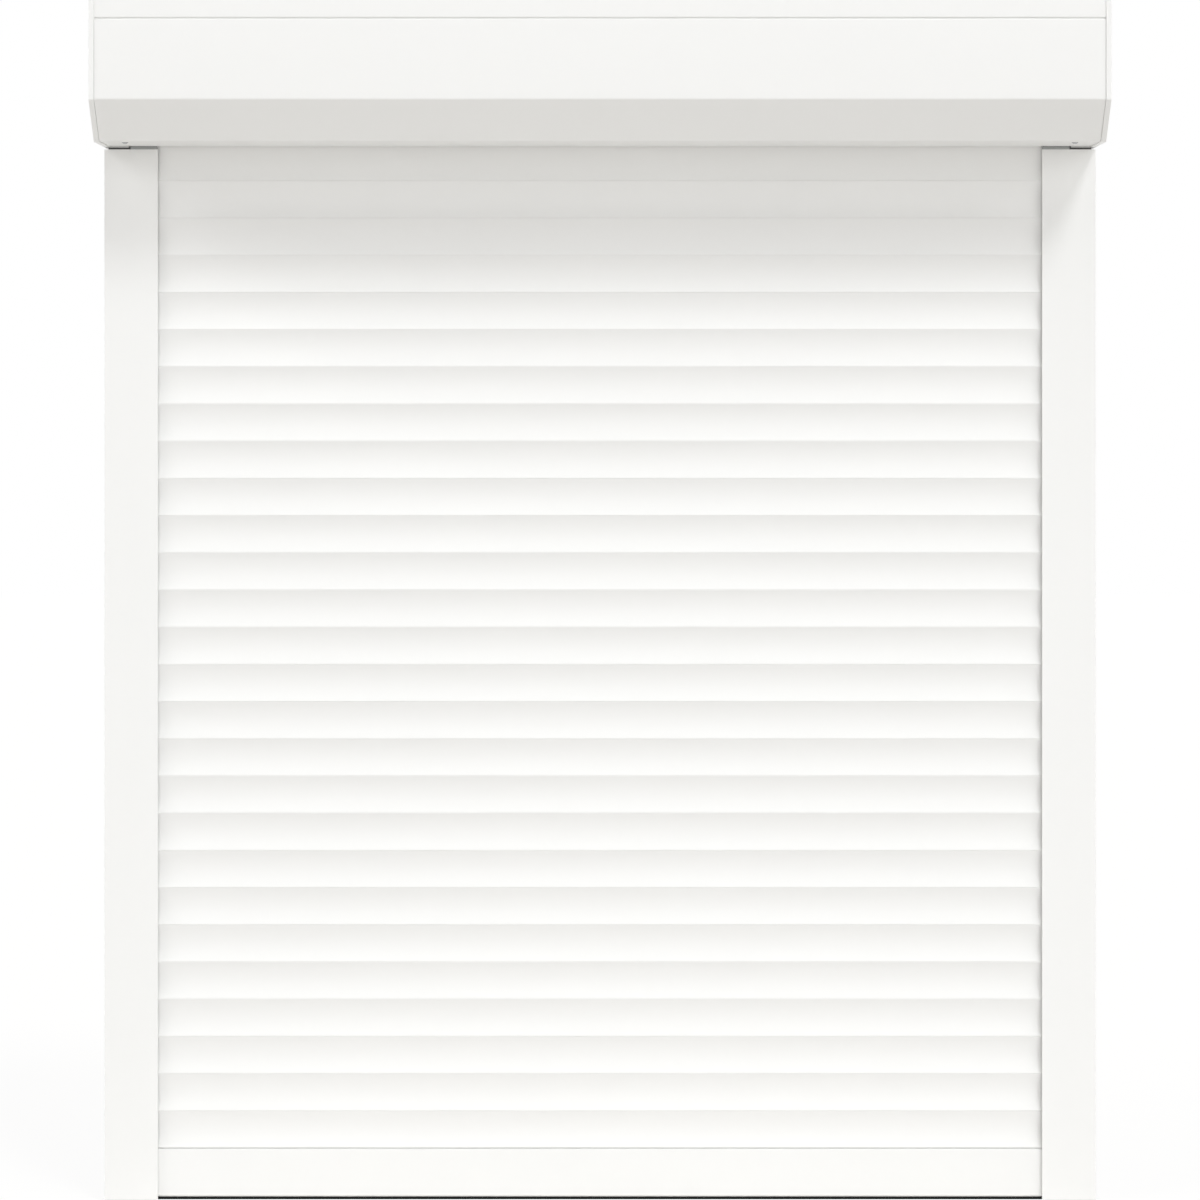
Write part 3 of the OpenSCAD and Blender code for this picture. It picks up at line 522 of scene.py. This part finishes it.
def cap_coat_tenon_shade():
    """The coat of the end caps, which ends a little below the cover, with painted shade below it: the tenons
    are coloured near black, partly as their own uncoated metal and partly as the shade of the narrow gap
    between box and rails.
    """
    made = baked_coat("cap_coat_tenon_shade")
    # painted shade: below this height the tenon's dark colour also stands in for the shade of the gap under
    # the box
    split = add(made.tree, "ShaderNodeSeparateXYZ", (-5, 3))
    coated = add(made.tree, "ShaderNodeMath", (-4, 3), operation="GREATER_THAN")
    coated.inputs[1].default_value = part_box("inspection_cover")[0].z - sizes().coat_end
    bare = add(made.tree, "ShaderNodeMix", (-1, 1), data_type="RGBA")
    bare.inputs["A"].default_value = (*colours().bare, 1.0)
    tinted = made.shader.inputs["Base Color"].links[0].from_socket
    wire(made.tree, (made.place, split.inputs[0]), (split.outputs["Z"], coated.inputs[0]),
         (coated.outputs[0], bare.inputs["Factor"]), (tinted, bare.inputs["B"]),
         (bare.outputs["Result"], made.shader.inputs["Base Color"]))
    return made.material


def slat_coat():
    """Coil-coated slat: finer peel than powder, and faint lines along the slat from the rolls."""
    made = Finish("slat_coat")
    grain = made.group(coat_grain, 0, Peel_size=1100.0)
    lines = made.group(drawn_lines, 2, Fineness=900.0)
    blend = add(made.tree, "ShaderNodeMix", (-3, 3))
    blend.inputs["Factor"].default_value = 0.5
    wire(made.tree, (grain.outputs["Height"], blend.inputs["A"]), (lines.outputs["Lines"], blend.inputs["B"]))
    made.tint(grain.outputs["Drift"], colours().slat, spread=0.006)
    made.rough(lines.outputs["Lines"], low=0.4, high=0.48)
    made.bump(blend.outputs["Result"], depth=0.01 * MM, strength=0.4)
    return made.material


def galvanised_steel():
    """Zinc-coated steel: flat crystals of slightly different tone and gloss."""
    made = Finish("galvanised_steel", metallic=1.0)
    cells = made.group(cell_speckle, 0, Fineness=160.0)
    made.tint(cells.outputs["Tone"], colours().zinc, spread=0.14)
    made.rough(cells.outputs["Tone"], low=0.34, high=0.5)
    made.bump(cells.outputs["Height"], depth=0.02 * MM, strength=0.3)
    return made.material


def bright_steel():
    """Plain machined steel with fine lines."""
    made = Finish("bright_steel", metallic=1.0)
    lines = made.group(drawn_lines, 0, Fineness=6000.0)
    made.tint(lines.outputs["Lines"], colours().steel, spread=0.08)
    made.rough(lines.outputs["Lines"], low=0.28, high=0.42)
    made.bump(lines.outputs["Lines"], depth=0.005 * MM, strength=0.4)
    return made.material


def raw_aluminium():
    """Bare aluminium of the rivets, a little matt from pressing."""
    made = Finish("raw_aluminium", metallic=1.0)
    grain = made.group(coat_grain, 0, Peel_size=2500.0)
    made.tint(grain.outputs["Height"], colours().aluminium, spread=0.05)
    made.rough(grain.outputs["Height"], low=0.32, high=0.48)
    made.bump(grain.outputs["Height"], depth=0.008 * MM, strength=0.5)
    return made.material


def grey_plastic():
    """Moulded grey plastic with a spark-eroded skin."""
    made = Finish("grey_plastic")
    cells = made.group(cell_speckle, 0, Fineness=2200.0)
    made.tint(cells.outputs["Tone"], colours().plastic, spread=0.04)
    made.rough(cells.outputs["Tone"], low=0.5, high=0.62)
    made.bump(cells.outputs["Height"], depth=0.02 * MM, strength=0.5)
    return made.material


def dark_plastic():
    """Moulded black nylon with a fine matt skin."""
    made = Finish("dark_plastic")
    cells = made.group(cell_speckle, 0, Fineness=2600.0)
    made.tint(cells.outputs["Tone"], colours().dark, spread=0.1)
    made.rough(cells.outputs["Tone"], low=0.45, high=0.6)
    made.bump(cells.outputs["Height"], depth=0.02 * MM, strength=0.5)
    return made.material


def seal_strip():
    """Short woven pile: dense fibres that show as fine speckle, with deep relief."""
    made = Finish("seal_strip")
    cells = made.group(cell_speckle, 0, Fineness=3500.0)
    made.tint(cells.outputs["Tone"], colours().pile, spread=0.35)
    made.rough(cells.outputs["Tone"], low=0.85, high=0.95)
    made.bump(cells.outputs["Height"], depth=0.15 * MM, strength=0.8)
    return made.material


def black_rubber():
    """Black extruded rubber: matt, with faint lines along the profile."""
    made = Finish("black_rubber")
    lines = made.group(drawn_lines, 0, Fineness=2500.0)
    made.shader.inputs["Specular IOR Level"].default_value = 0.2
    made.tint(lines.outputs["Lines"], colours().rubber, spread=0.25)
    made.rough(lines.outputs["Lines"], low=0.6, high=0.75)
    made.bump(lines.outputs["Lines"], depth=0.02 * MM, strength=0.5)
    return made.material


def foam():
    """Rigid foam: open cells in warm yellow, with painted shade that colours the hollow middle of each cell
    darker.
    """
    made = Finish("foam")
    cells = made.group(cell_speckle, 0, Fineness=1500.0)
    # painted shade: the colour follows the bump height, so each cell's hollow is darker
    made.tint(cells.outputs["Height"], colours().foam, spread=0.15)
    made.rough(cells.outputs["Tone"], low=0.85, high=0.95)
    made.bump(cells.outputs["Height"], depth=0.3 * MM, strength=0.8)
    return made.material


FINISHES = {make.__name__: make for make in (
    powder_coat, cap_coat_tenon_shade, slat_coat, galvanised_steel, bright_steel, raw_aluminium, grey_plastic,
    dark_plastic, seal_strip, black_rubber, foam)}


def finish(slot):
    """The material of a slot of the record, made once and named apart from the frame's own stand-in."""
    made = bpy.data.materials.get("finish_" + slot)
    if made is None:
        made = FINISHES[slot]()
        made.name = "finish_" + slot
    return made


def slat_arc(radius, heights):
    """Depth of a slat's arc behind the ridges: a circle about a centre in front, deepest at half height."""
    size = sizes()
    front = ((size.pitch / 2) ** 2 + size.sag ** 2) / (2 * size.sag)
    return size.sag - front + np.sqrt((front + radius) ** 2 - (heights - size.pitch / 2) ** 2)


def slat_outline():
    """Outside of a slat's section as [depth, height], counter-clockwise.

    Rounded edges join the front and the back arc. A bead on a neck stands on top, and a pocket with a narrow
    mouth opens below.
    """
    size = sizes()
    low = size.gap / 2 + size.edge
    high = size.pitch - low
    foot, head = size.gap / 2, size.pitch - size.gap / 2
    rise = np.linspace(low, high, 41)
    front, back = slat_arc(0, rise), slat_arc(size.body, rise)
    inner, outer = front[0] + size.edge, back[0] - size.edge
    neck = math.degrees(math.asin(size.neck / 2 / size.bead))
    half = np.array([size.mouth, size.pocket]) / 2
    mouth = [[size.neck_at - half[0], foot], [size.neck_at - half[0], size.mouth_high],
             [size.neck_at - half[1], size.mouth_high], [size.neck_at - half[1], size.pocket_high],
             [size.neck_at + half[1], size.pocket_high], [size.neck_at + half[1], size.mouth_high],
             [size.neck_at + half[0], size.mouth_high], [size.neck_at + half[0], foot]]
    return np.concatenate([
        mouth,
        arc((outer, low), size.edge, -90, 0, steps=6),
        np.stack([back, rise], axis=1)[1:-1],
        arc((outer, high), size.edge, 0, 90, steps=6),
        [[size.neck_at + size.neck / 2, head]],
        arc((size.neck_at, size.pitch + size.bead_at), size.bead, neck - 90, 270 - neck, steps=20),
        [[size.neck_at - size.neck / 2, head]],
        arc((inner, high), size.edge, 90, 180, steps=6),
        np.stack([front, rise], axis=1)[-2:0:-1],
        arc((inner, low), size.edge, 180, 270, steps=6)])


def slat_core(clearance):
    """Hollow of a slat's section as [depth, height], clockwise, drawn smaller by clearance on every side."""
    size = sizes()
    low = size.pocket_high + 2 * size.skin + clearance
    high = size.pitch - size.core_edge - clearance
    rise = np.linspace(low, high, 31)
    wall = size.skin + clearance
    front = np.stack([slat_arc(wall, rise), rise], axis=1)
    back = np.stack([slat_arc(size.body - wall, rise), rise], axis=1)
    return np.concatenate([front, back[::-1]])


class SHUTTER_OT_housing(bpy.types.Operator):
    """Roll-formed sheet of the box: lower hem, back, top and front lip on one bent line"""
    bl_idname = "shutter.housing"
    bl_label = "Housing sheet"

    def execute(self, context):
        size = sizes()
        low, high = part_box("box_housing")
        corners = [(high.y - size.hem, low.z), (high.y, low.z), (high.y, high.z), (low.y, high.z),
                   (low.y, high.z - size.lip)]
        loop = sheet_loop(bent_line(corners, [size.bend] * 3), size.sheet)
        piece = prism("housing_sheet", [loop], low.x + size.lip_gap, high.x - size.lip_gap)
        soften(piece, size.edge_thin)
        stand_for(piece, "box_housing")
        return {"FINISHED"}


class SHUTTER_OT_cover(bpy.types.Operator):
    """Removable front of the box: joggle behind the lip, front, slanted face, underside and rear upstand"""
    bl_idname = "shutter.cover"
    bl_label = "Inspection cover"

    def execute(self, context):
        size = sizes()
        low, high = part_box("inspection_cover")
        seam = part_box("box_housing")[1].z - size.lip - size.seam
        corners = [(low.y + size.joggle, high.z), (low.y + size.joggle, seam), (low.y, seam - size.joggle),
                   (low.y, low.z + size.slant), (low.y + size.slant, low.z), (high.y, low.z),
                   (high.y, low.z + size.cover_lip)]
        radii = [size.joggle, size.joggle, size.slant_bend, size.bend, size.bend]
        loop = sheet_loop(bent_line(corners, radii), size.sheet)
        piece = prism("cover_sheet", [loop], low.x + size.end_gap, high.x - size.end_gap)
        soften(piece, size.edge_thin)
        stand_for(piece, "inspection_cover")
        dress("outlet_strip", size.edge_thin)
        return {"FINISHED"}


class SHUTTER_OT_castings(bpy.types.Operator):
    """Cast end caps of the box and the moulded and extruded pieces of the two guide rails"""
    bl_idname = "shutter.castings"
    bl_label = "End caps and rails"

    def execute(self, context):
        size = sizes()
        for side in SIDES:
            dress(f"{side}_end_cap", size.edge_cap, "cap_coat_tenon_shade")
            dress(f"{side}_guide_rail", size.edge_metal)
            for node in ("rail_seals", "inlet_funnel", "rail_foot"):
                dress(f"{side}_{node}", size.edge_plastic)
        return {"FINISHED"}


class SHUTTER_OT_slats(bpy.types.Operator):
    """Interlocking slats with their foam cores and end locks"""
    bl_idname = "shutter.slats"
    bl_label = "Slats"

    def execute(self, context):
        outline, core, filling = slat_outline(), slat_core(0), slat_core(sizes().foam_fit)[::-1]
        start, end = (corner.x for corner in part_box("slat_foam"))
        cores = []
        for node in SLATS:
            low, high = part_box(node)
            foot = np.array(high.yz) - outline.max(axis=0)
            piece = prism(node + "_skin", [outline + foot, core + foot], low.x, high.x)
            stand_for(piece, node)
            cores.append(prism_mesh([filling + foot], start, end))
        stand_for(new_piece("slat_cores", *joined(cores)), "slat_foam")
        dress("slat_end_locks", sizes().edge_plastic)
        return {"FINISHED"}


class SHUTTER_OT_bottom(bpy.types.Operator):
    """Bottom bar, its end plugs, and the hollow rubber seal in its slot"""
    bl_idname = "shutter.bottom"
    bl_label = "Bottom bar and seal"

    def execute(self, context):
        size = sizes()
        dress("bottom_bar", size.edge_metal)
        dress("bar_end_plugs", size.edge_plastic)
        low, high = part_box("bottom_seal")
        middle = (low.y + high.y) / 2
        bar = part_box("bottom_bar")[0].z
        foot, neck = size.seal_foot / 2, size.seal_neck / 2
        step = bar + (high.z - bar) / 2
        loop = np.concatenate([
            arc((low.y + size.seal_round, low.z + size.seal_round), size.seal_round, 180, 270, steps=12),
            arc((high.y - size.seal_round, low.z + size.seal_round), size.seal_round, 270, 360, steps=12),
            [[high.y, bar], [middle + neck, bar], [middle + neck, step], [middle + foot, step],
             [middle + foot, high.z], [middle - foot, high.z], [middle - foot, step], [middle - neck, step],
             [middle - neck, bar], [low.y, bar]]])
        hollow = arc((middle, low.z + size.seal_wall), size.seal_bore, 360, 0, steps=24)[:-1]
        piece = prism("seal_profile", [loop, hollow], low.x, high.x)
        stand_for(piece, "bottom_seal")
        return {"FINISHED"}


def cross_recess(points, width, reach, depth):
    """Sinks a cross into a head at the origin: full depth inside either arm, fading out over a soft edge."""
    across = np.abs(points[:, :2])
    soft = width / 4
    within = np.clip((width / 2 - across) / soft + 0.5, 0, 1)
    along = np.clip((reach - across) / soft, 0, 1)
    points[:, 2] -= depth * (within * along[:, ::-1]).max(axis=1)


class SHUTTER_OT_fasteners(bpy.types.Operator):
    """Domed cover screws under the box, and blind rivets on its top and back"""
    bl_idname = "shutter.fasteners"
    bl_label = "Screws and rivets"

    def execute(self, context):
        self.cover_screws()
        self.rivets()
        return {"FINISHED"}

    def cover_screws(self):
        """A dome with a cross recess over a shank with a short point, turned once and set at both ends."""
        size = sizes()
        low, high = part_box("cover_screws")
        head, shank = size.screw_head / 2, size.screw_shank / 2
        out = np.linspace(0, 1, 25)
        dome = np.stack([head * out, size.screw_rise * (1 - out ** 2)], axis=1)
        stem = -(high.z - low.z - size.screw_rise)
        point, point_from = 0.5 * shank, 0.9 * stem
        profile = np.concatenate([dome, [[shank, 0], [shank, point_from], [point, stem], [0, stem]]])[::-1]
        points, faces = turned_mesh(profile, steps=96)
        top = points[:, 2] > 0
        top_points = points[top]
        cross_recess(top_points, size.recess, reach=0.6 * head, depth=0.6 * size.screw_rise)
        points[top] = top_points
        places = [(x, (low.y + high.y) / 2, low.z + size.screw_rise) for x in (low.x + head, high.x - head)]
        flipped = points * (1, -1, -1)
        piece = new_piece("screw_heads", *joined([(flipped + place, faces) for place in places]))
        stand_for(piece, "cover_screws")

    def rivets(self):
        """A low dome with the dimple of its pulled pin, over a plain shank, on top and at the back."""
        size = sizes()
        low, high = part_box("housing_rivets")
        head, shank = size.rivet_head / 2, size.rivet_shank / 2
        hole, pin_wide, pin_middle, pin_rim = 0.36, 0.34, 0.55, 0.6
        out = np.linspace(hole, 1, 12)
        dome = np.stack([head * out, size.rivet_rise * (1 - out ** 4)], axis=1)
        pin = [[0, pin_middle * size.rivet_rise], [pin_wide * head, pin_rim * size.rivet_rise]]
        stem = [[shank, 0], [shank, -size.rivet_length], [0, -size.rivet_length]]
        points, faces = turned_mesh(np.concatenate([pin, dome, stem])[::-1], steps=48)
        top_z, back_y = high.z - size.rivet_rise, high.y - size.rivet_rise
        side = -(low.y + head)
        back_heights = (low.z + head, CAD_BOX[1].z - size.rivet_below)
        to_back = points[:, [0, 2, 1]] * (-1, 1, 1)
        meshes = []
        for x in (low.x + head, high.x - head):
            meshes += [(points + (x, y, top_z), faces) for y in (-side, side)]
            meshes += [(to_back + (x, back_y, z), faces) for z in back_heights]
        stand_for(new_piece("rivet_heads", *joined(meshes)), "housing_rivets")


class SHUTTER_OT_drive(bpy.types.Operator):
    """Axle, bearing and motor inside the box"""
    bl_idname = "shutter.drive"
    bl_label = "Axle and motor"

    def execute(self, context):
        size = sizes()
        for node in ("axle_tube", "motor_tube", "motor_bracket", "bracket_screws", "bearing_outer_ring",
                     "bearing_inner_ring"):
            dress(node, size.edge_thin)
        for node in ("idler_capsule", "motor_head", "limit_crown", "drive_wheel"):
            dress(node, size.edge_plastic)
        frame["nodes"]["bearing_balls"].material_slots[0].material = finish(SLOT_OF["bearing_balls"])
        return {"FINISHED"}


class SHUTTER_OT_hangers(bpy.types.Operator):
    """Spring-steel straps round two flats of the axle and down to the bead of the top slat"""
    bl_idname = "shutter.hangers"
    bl_label = "Hanger straps"

    def execute(self, context):
        size = sizes()
        low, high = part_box("axle_tube")
        axle = np.array((low + high).yz) / 2
        flat = (high.z - low.z) / 2 + size.strap_fit
        half = flat * math.tan(math.pi / 8)
        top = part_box(SLATS[-1])[1]
        bead = np.array(top.yz) - slat_outline().max(axis=0) + (size.neck_at, size.pitch + size.bead_at)
        curl = size.bead + size.strap_fit
        mouth = math.degrees(math.asin((size.neck / 2 + size.strap_fit) / curl))
        hook = sheet_loop(arc(bead, curl, 270 - mouth, mouth - 90, steps=40), size.strap)
        tie_at = 125
        tie = arc(bead, curl + size.strap / 2, tie_at, tie_at, steps=0)[0]
        corner = axle + (flat, half)
        clip = bent_line([axle + (0, flat), axle + (half, flat), corner], [size.strap])
        self.straps("strap_clips", [sheet_loop(clip, size.strap)])
        leaves = self.straps("strap_leaves", [sheet_loop(np.array([corner, tie]), size.strap), hook])
        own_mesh(leaves)
        return {"FINISHED"}

    def straps(self, name, loops):
        """One piece of the outlines carried across the width of each strap."""
        size = sizes()
        half = size.strap_wide / 2
        places = (np.arange(STRAPS) - (STRAPS - 1) / 2) * size.strap_every
        meshes = [prism_mesh([loop], x - half, x + half) for x in places for loop in loops]
        piece = new_piece(name, *joined(meshes))
        stand_for(piece, "hanger_straps")
        return piece


class SHUTTER_OT_stage(bpy.types.Operator):
    """Camera, soft studio light and a pale floor"""
    bl_idname = "shutter.stage"
    bl_label = "Stage"

    def execute(self, context):
        self.camera(context.scene)
        self.world(context.scene)
        self.lamps(context.scene)
        self.floor()
        context.scene.view_settings.view_transform = "Standard"
        return {"FINISHED"}

    def camera(self, scene):
        """A level camera square to the front, its picture shifted down to take in the whole shutter."""
        stage = scene.shutter_stage
        lens = bpy.data.cameras.new("Camera")
        lens.sensor_width = 36
        lens.lens = stage.lens
        lens.shift_y = -stage.drop
        camera = bpy.data.objects.new("Camera", lens)
        camera.location = (0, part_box("left_guide_rail")[0].y - stage.distance, stage.height)
        camera.rotation_euler = (math.radians(90), 0, 0)
        scene.collection.objects.link(camera)
        scene.camera = camera

    def world(self, scene):
        """An even studio, brighter behind the shutter, which shows as plain white."""
        stage = scene.shutter_stage
        world = bpy.data.worlds.new("Studio")
        world.use_nodes = True
        tree = world.node_tree
        tree.nodes.clear()
        place = add(tree, "ShaderNodeTexCoord", (-5, 2))
        split = add(tree, "ShaderNodeSeparateXYZ", (-4, 2))
        behind = add(tree, "ShaderNodeMath", (-3, 2), operation="MAXIMUM")
        behind.inputs[1].default_value = 0.0
        level = add(tree, "ShaderNodeMath", (-2, 2), operation="MULTIPLY_ADD")
        level.inputs[1].default_value = stage.sky_back
        level.inputs[2].default_value = stage.sky
        studio = add(tree, "ShaderNodeBackground", (-1, 2))
        white = add(tree, "ShaderNodeBackground", (-1, 4))
        white.inputs["Color"].default_value = (1, 1, 1, 1)
        choose = add(tree, "ShaderNodeMixShader", (1, 2))
        out = add(tree, "ShaderNodeOutputWorld", (2, 2))
        wire(tree, (place.outputs["Generated"], split.inputs[0]), (split.outputs["Y"], behind.inputs[0]),
             (behind.outputs[0], level.inputs[0]), (level.outputs[0], studio.inputs["Strength"]),
             (seen_directly(tree), choose.inputs["Fac"]), (studio.outputs[0], choose.inputs[1]),
             (white.outputs[0], choose.inputs[2]), (choose.outputs[0], out.inputs["Surface"]))
        scene.world = world

    def lamps(self, scene):
        """Distant soft lamps, each with its side and height in degrees, its breadth and its strength."""
        stage = scene.shutter_stage
        white = (1.0, 1.0, 1.0)
        for name, aside, above, breadth, strength, tone in (
                ("Key", 30, 50, 14, stage.key, stage.cool), ("Left", -65, 35, 30, stage.left, white),
                ("Right", 65, 35, 30, stage.right, white), ("Low", 50, 10, 40, stage.low, white),
                ("Front", 0, 10, 30, stage.front, white)):
            light = bpy.data.lights.new(name, "SUN")
            light.angle = math.radians(breadth)
            light.energy = math.pi * strength
            light.color = tone
            lamp = bpy.data.objects.new(name, light)
            lamp.rotation_euler = (math.radians(90 - above), 0, math.radians(aside))
            lamp.location = lamp.rotation_euler.to_matrix().col[2] * stage.distance
            scene.collection.objects.link(lamp)

    def floor(self):
        """A pale floor just under the feet. It shows as white with the shutter's soft shadow on it."""
        stage = bpy.context.scene.shutter_stage
        corners = np.array([[-1, -1], [1, -1], [1, 1], [-1, 1]]) * stage.floor_reach
        points = np.column_stack([corners, np.full(4, -stage.floor_drop)])
        floor = new_piece("Floor", points, [np.arange(4).reshape(1, 4)])
        material = bpy.data.materials.new("Floor")
        material.use_nodes = True
        tree = material.node_tree
        shader = tree.nodes["Principled BSDF"]
        shader.inputs["Base Color"].default_value = (*stage.floor, 1)
        shader.inputs["Roughness"].default_value = 0.9
        white = add(tree, "ShaderNodeEmission", (-1, 3))
        white.inputs["Strength"].default_value = stage.floor_white
        choose = add(tree, "ShaderNodeMixShader", (1, 2))
        partly = add(tree, "ShaderNodeMath", (0, 4), operation="MULTIPLY")
        partly.inputs[1].default_value = 1 - stage.shadow
        wire(tree, (seen_directly(tree), partly.inputs[0]), (partly.outputs[0], choose.inputs["Fac"]),
             (shader.outputs[0], choose.inputs[1]), (white.outputs[0], choose.inputs[2]),
             (choose.outputs[0], tree.nodes["Material Output"].inputs["Surface"]))
        floor.data.materials.append(material)


def seen_directly(tree):
    """One for rays from the camera, a reflection or a clear body, and nought for rays that carry light."""
    path = add(tree, "ShaderNodeLightPath", (-6, 5))
    either = add(tree, "ShaderNodeMath", (-5, 5), operation="MAXIMUM")
    seen = add(tree, "ShaderNodeMath", (-4, 5), operation="MAXIMUM")
    wire(tree, (path.outputs["Is Camera Ray"], either.inputs[0]),
         (path.outputs["Is Glossy Ray"], either.inputs[1]), (either.outputs[0], seen.inputs[0]),
         (path.outputs["Is Transmission Ray"], seen.inputs[1]))
    return seen.outputs[0]


OPERATORS = (SHUTTER_OT_housing, SHUTTER_OT_cover, SHUTTER_OT_castings, SHUTTER_OT_slats, SHUTTER_OT_bottom,
             SHUTTER_OT_fasteners, SHUTTER_OT_drive, SHUTTER_OT_hangers, SHUTTER_OT_stage)


class SHUTTER_PT_panel(bpy.types.Panel):
    """Sizes, colours, stage and the operators that build the shutter"""
    bl_idname = "SHUTTER_PT_panel"
    bl_label = "Roller Shutter"
    bl_space_type = "VIEW_3D"
    bl_region_type = "UI"
    bl_category = "Shutter"

    def draw(self, context):
        for name in GROUPS:
            values = getattr(context.scene, name)
            box = self.layout.box()
            for field in values.__annotations__:
                box.prop(values, field)
        for operator in OPERATORS:
            self.layout.operator(operator.bl_idname)


GROUPS = {"shutter_sizes": ShutterSizes, "shutter_colours": ShutterColours, "shutter_stage": ShutterStage}
CLASSES = (*GROUPS.values(), *OPERATORS, SHUTTER_PT_panel)


def register():
    """Registers the classes and hangs the properties on the scene."""
    for cls in CLASSES:
        bpy.utils.register_class(cls)
    for name, cls in GROUPS.items():
        setattr(bpy.types.Scene, name, PointerProperty(type=cls))


def unregister():
    """Takes the properties and the classes away again."""
    for name in GROUPS:
        delattr(bpy.types.Scene, name)
    for cls in reversed(CLASSES):
        bpy.utils.unregister_class(cls)


def main():
    """Builds the pieces and the stage."""
    register()
    bpy.ops.shutter.housing()
    bpy.ops.shutter.cover()
    bpy.ops.shutter.castings()
    bpy.ops.shutter.slats()
    bpy.ops.shutter.bottom()
    bpy.ops.shutter.fasteners()
    bpy.ops.shutter.drive()
    bpy.ops.shutter.hangers()
    bpy.ops.shutter.stage()


if __name__ == "__main__":
    main()
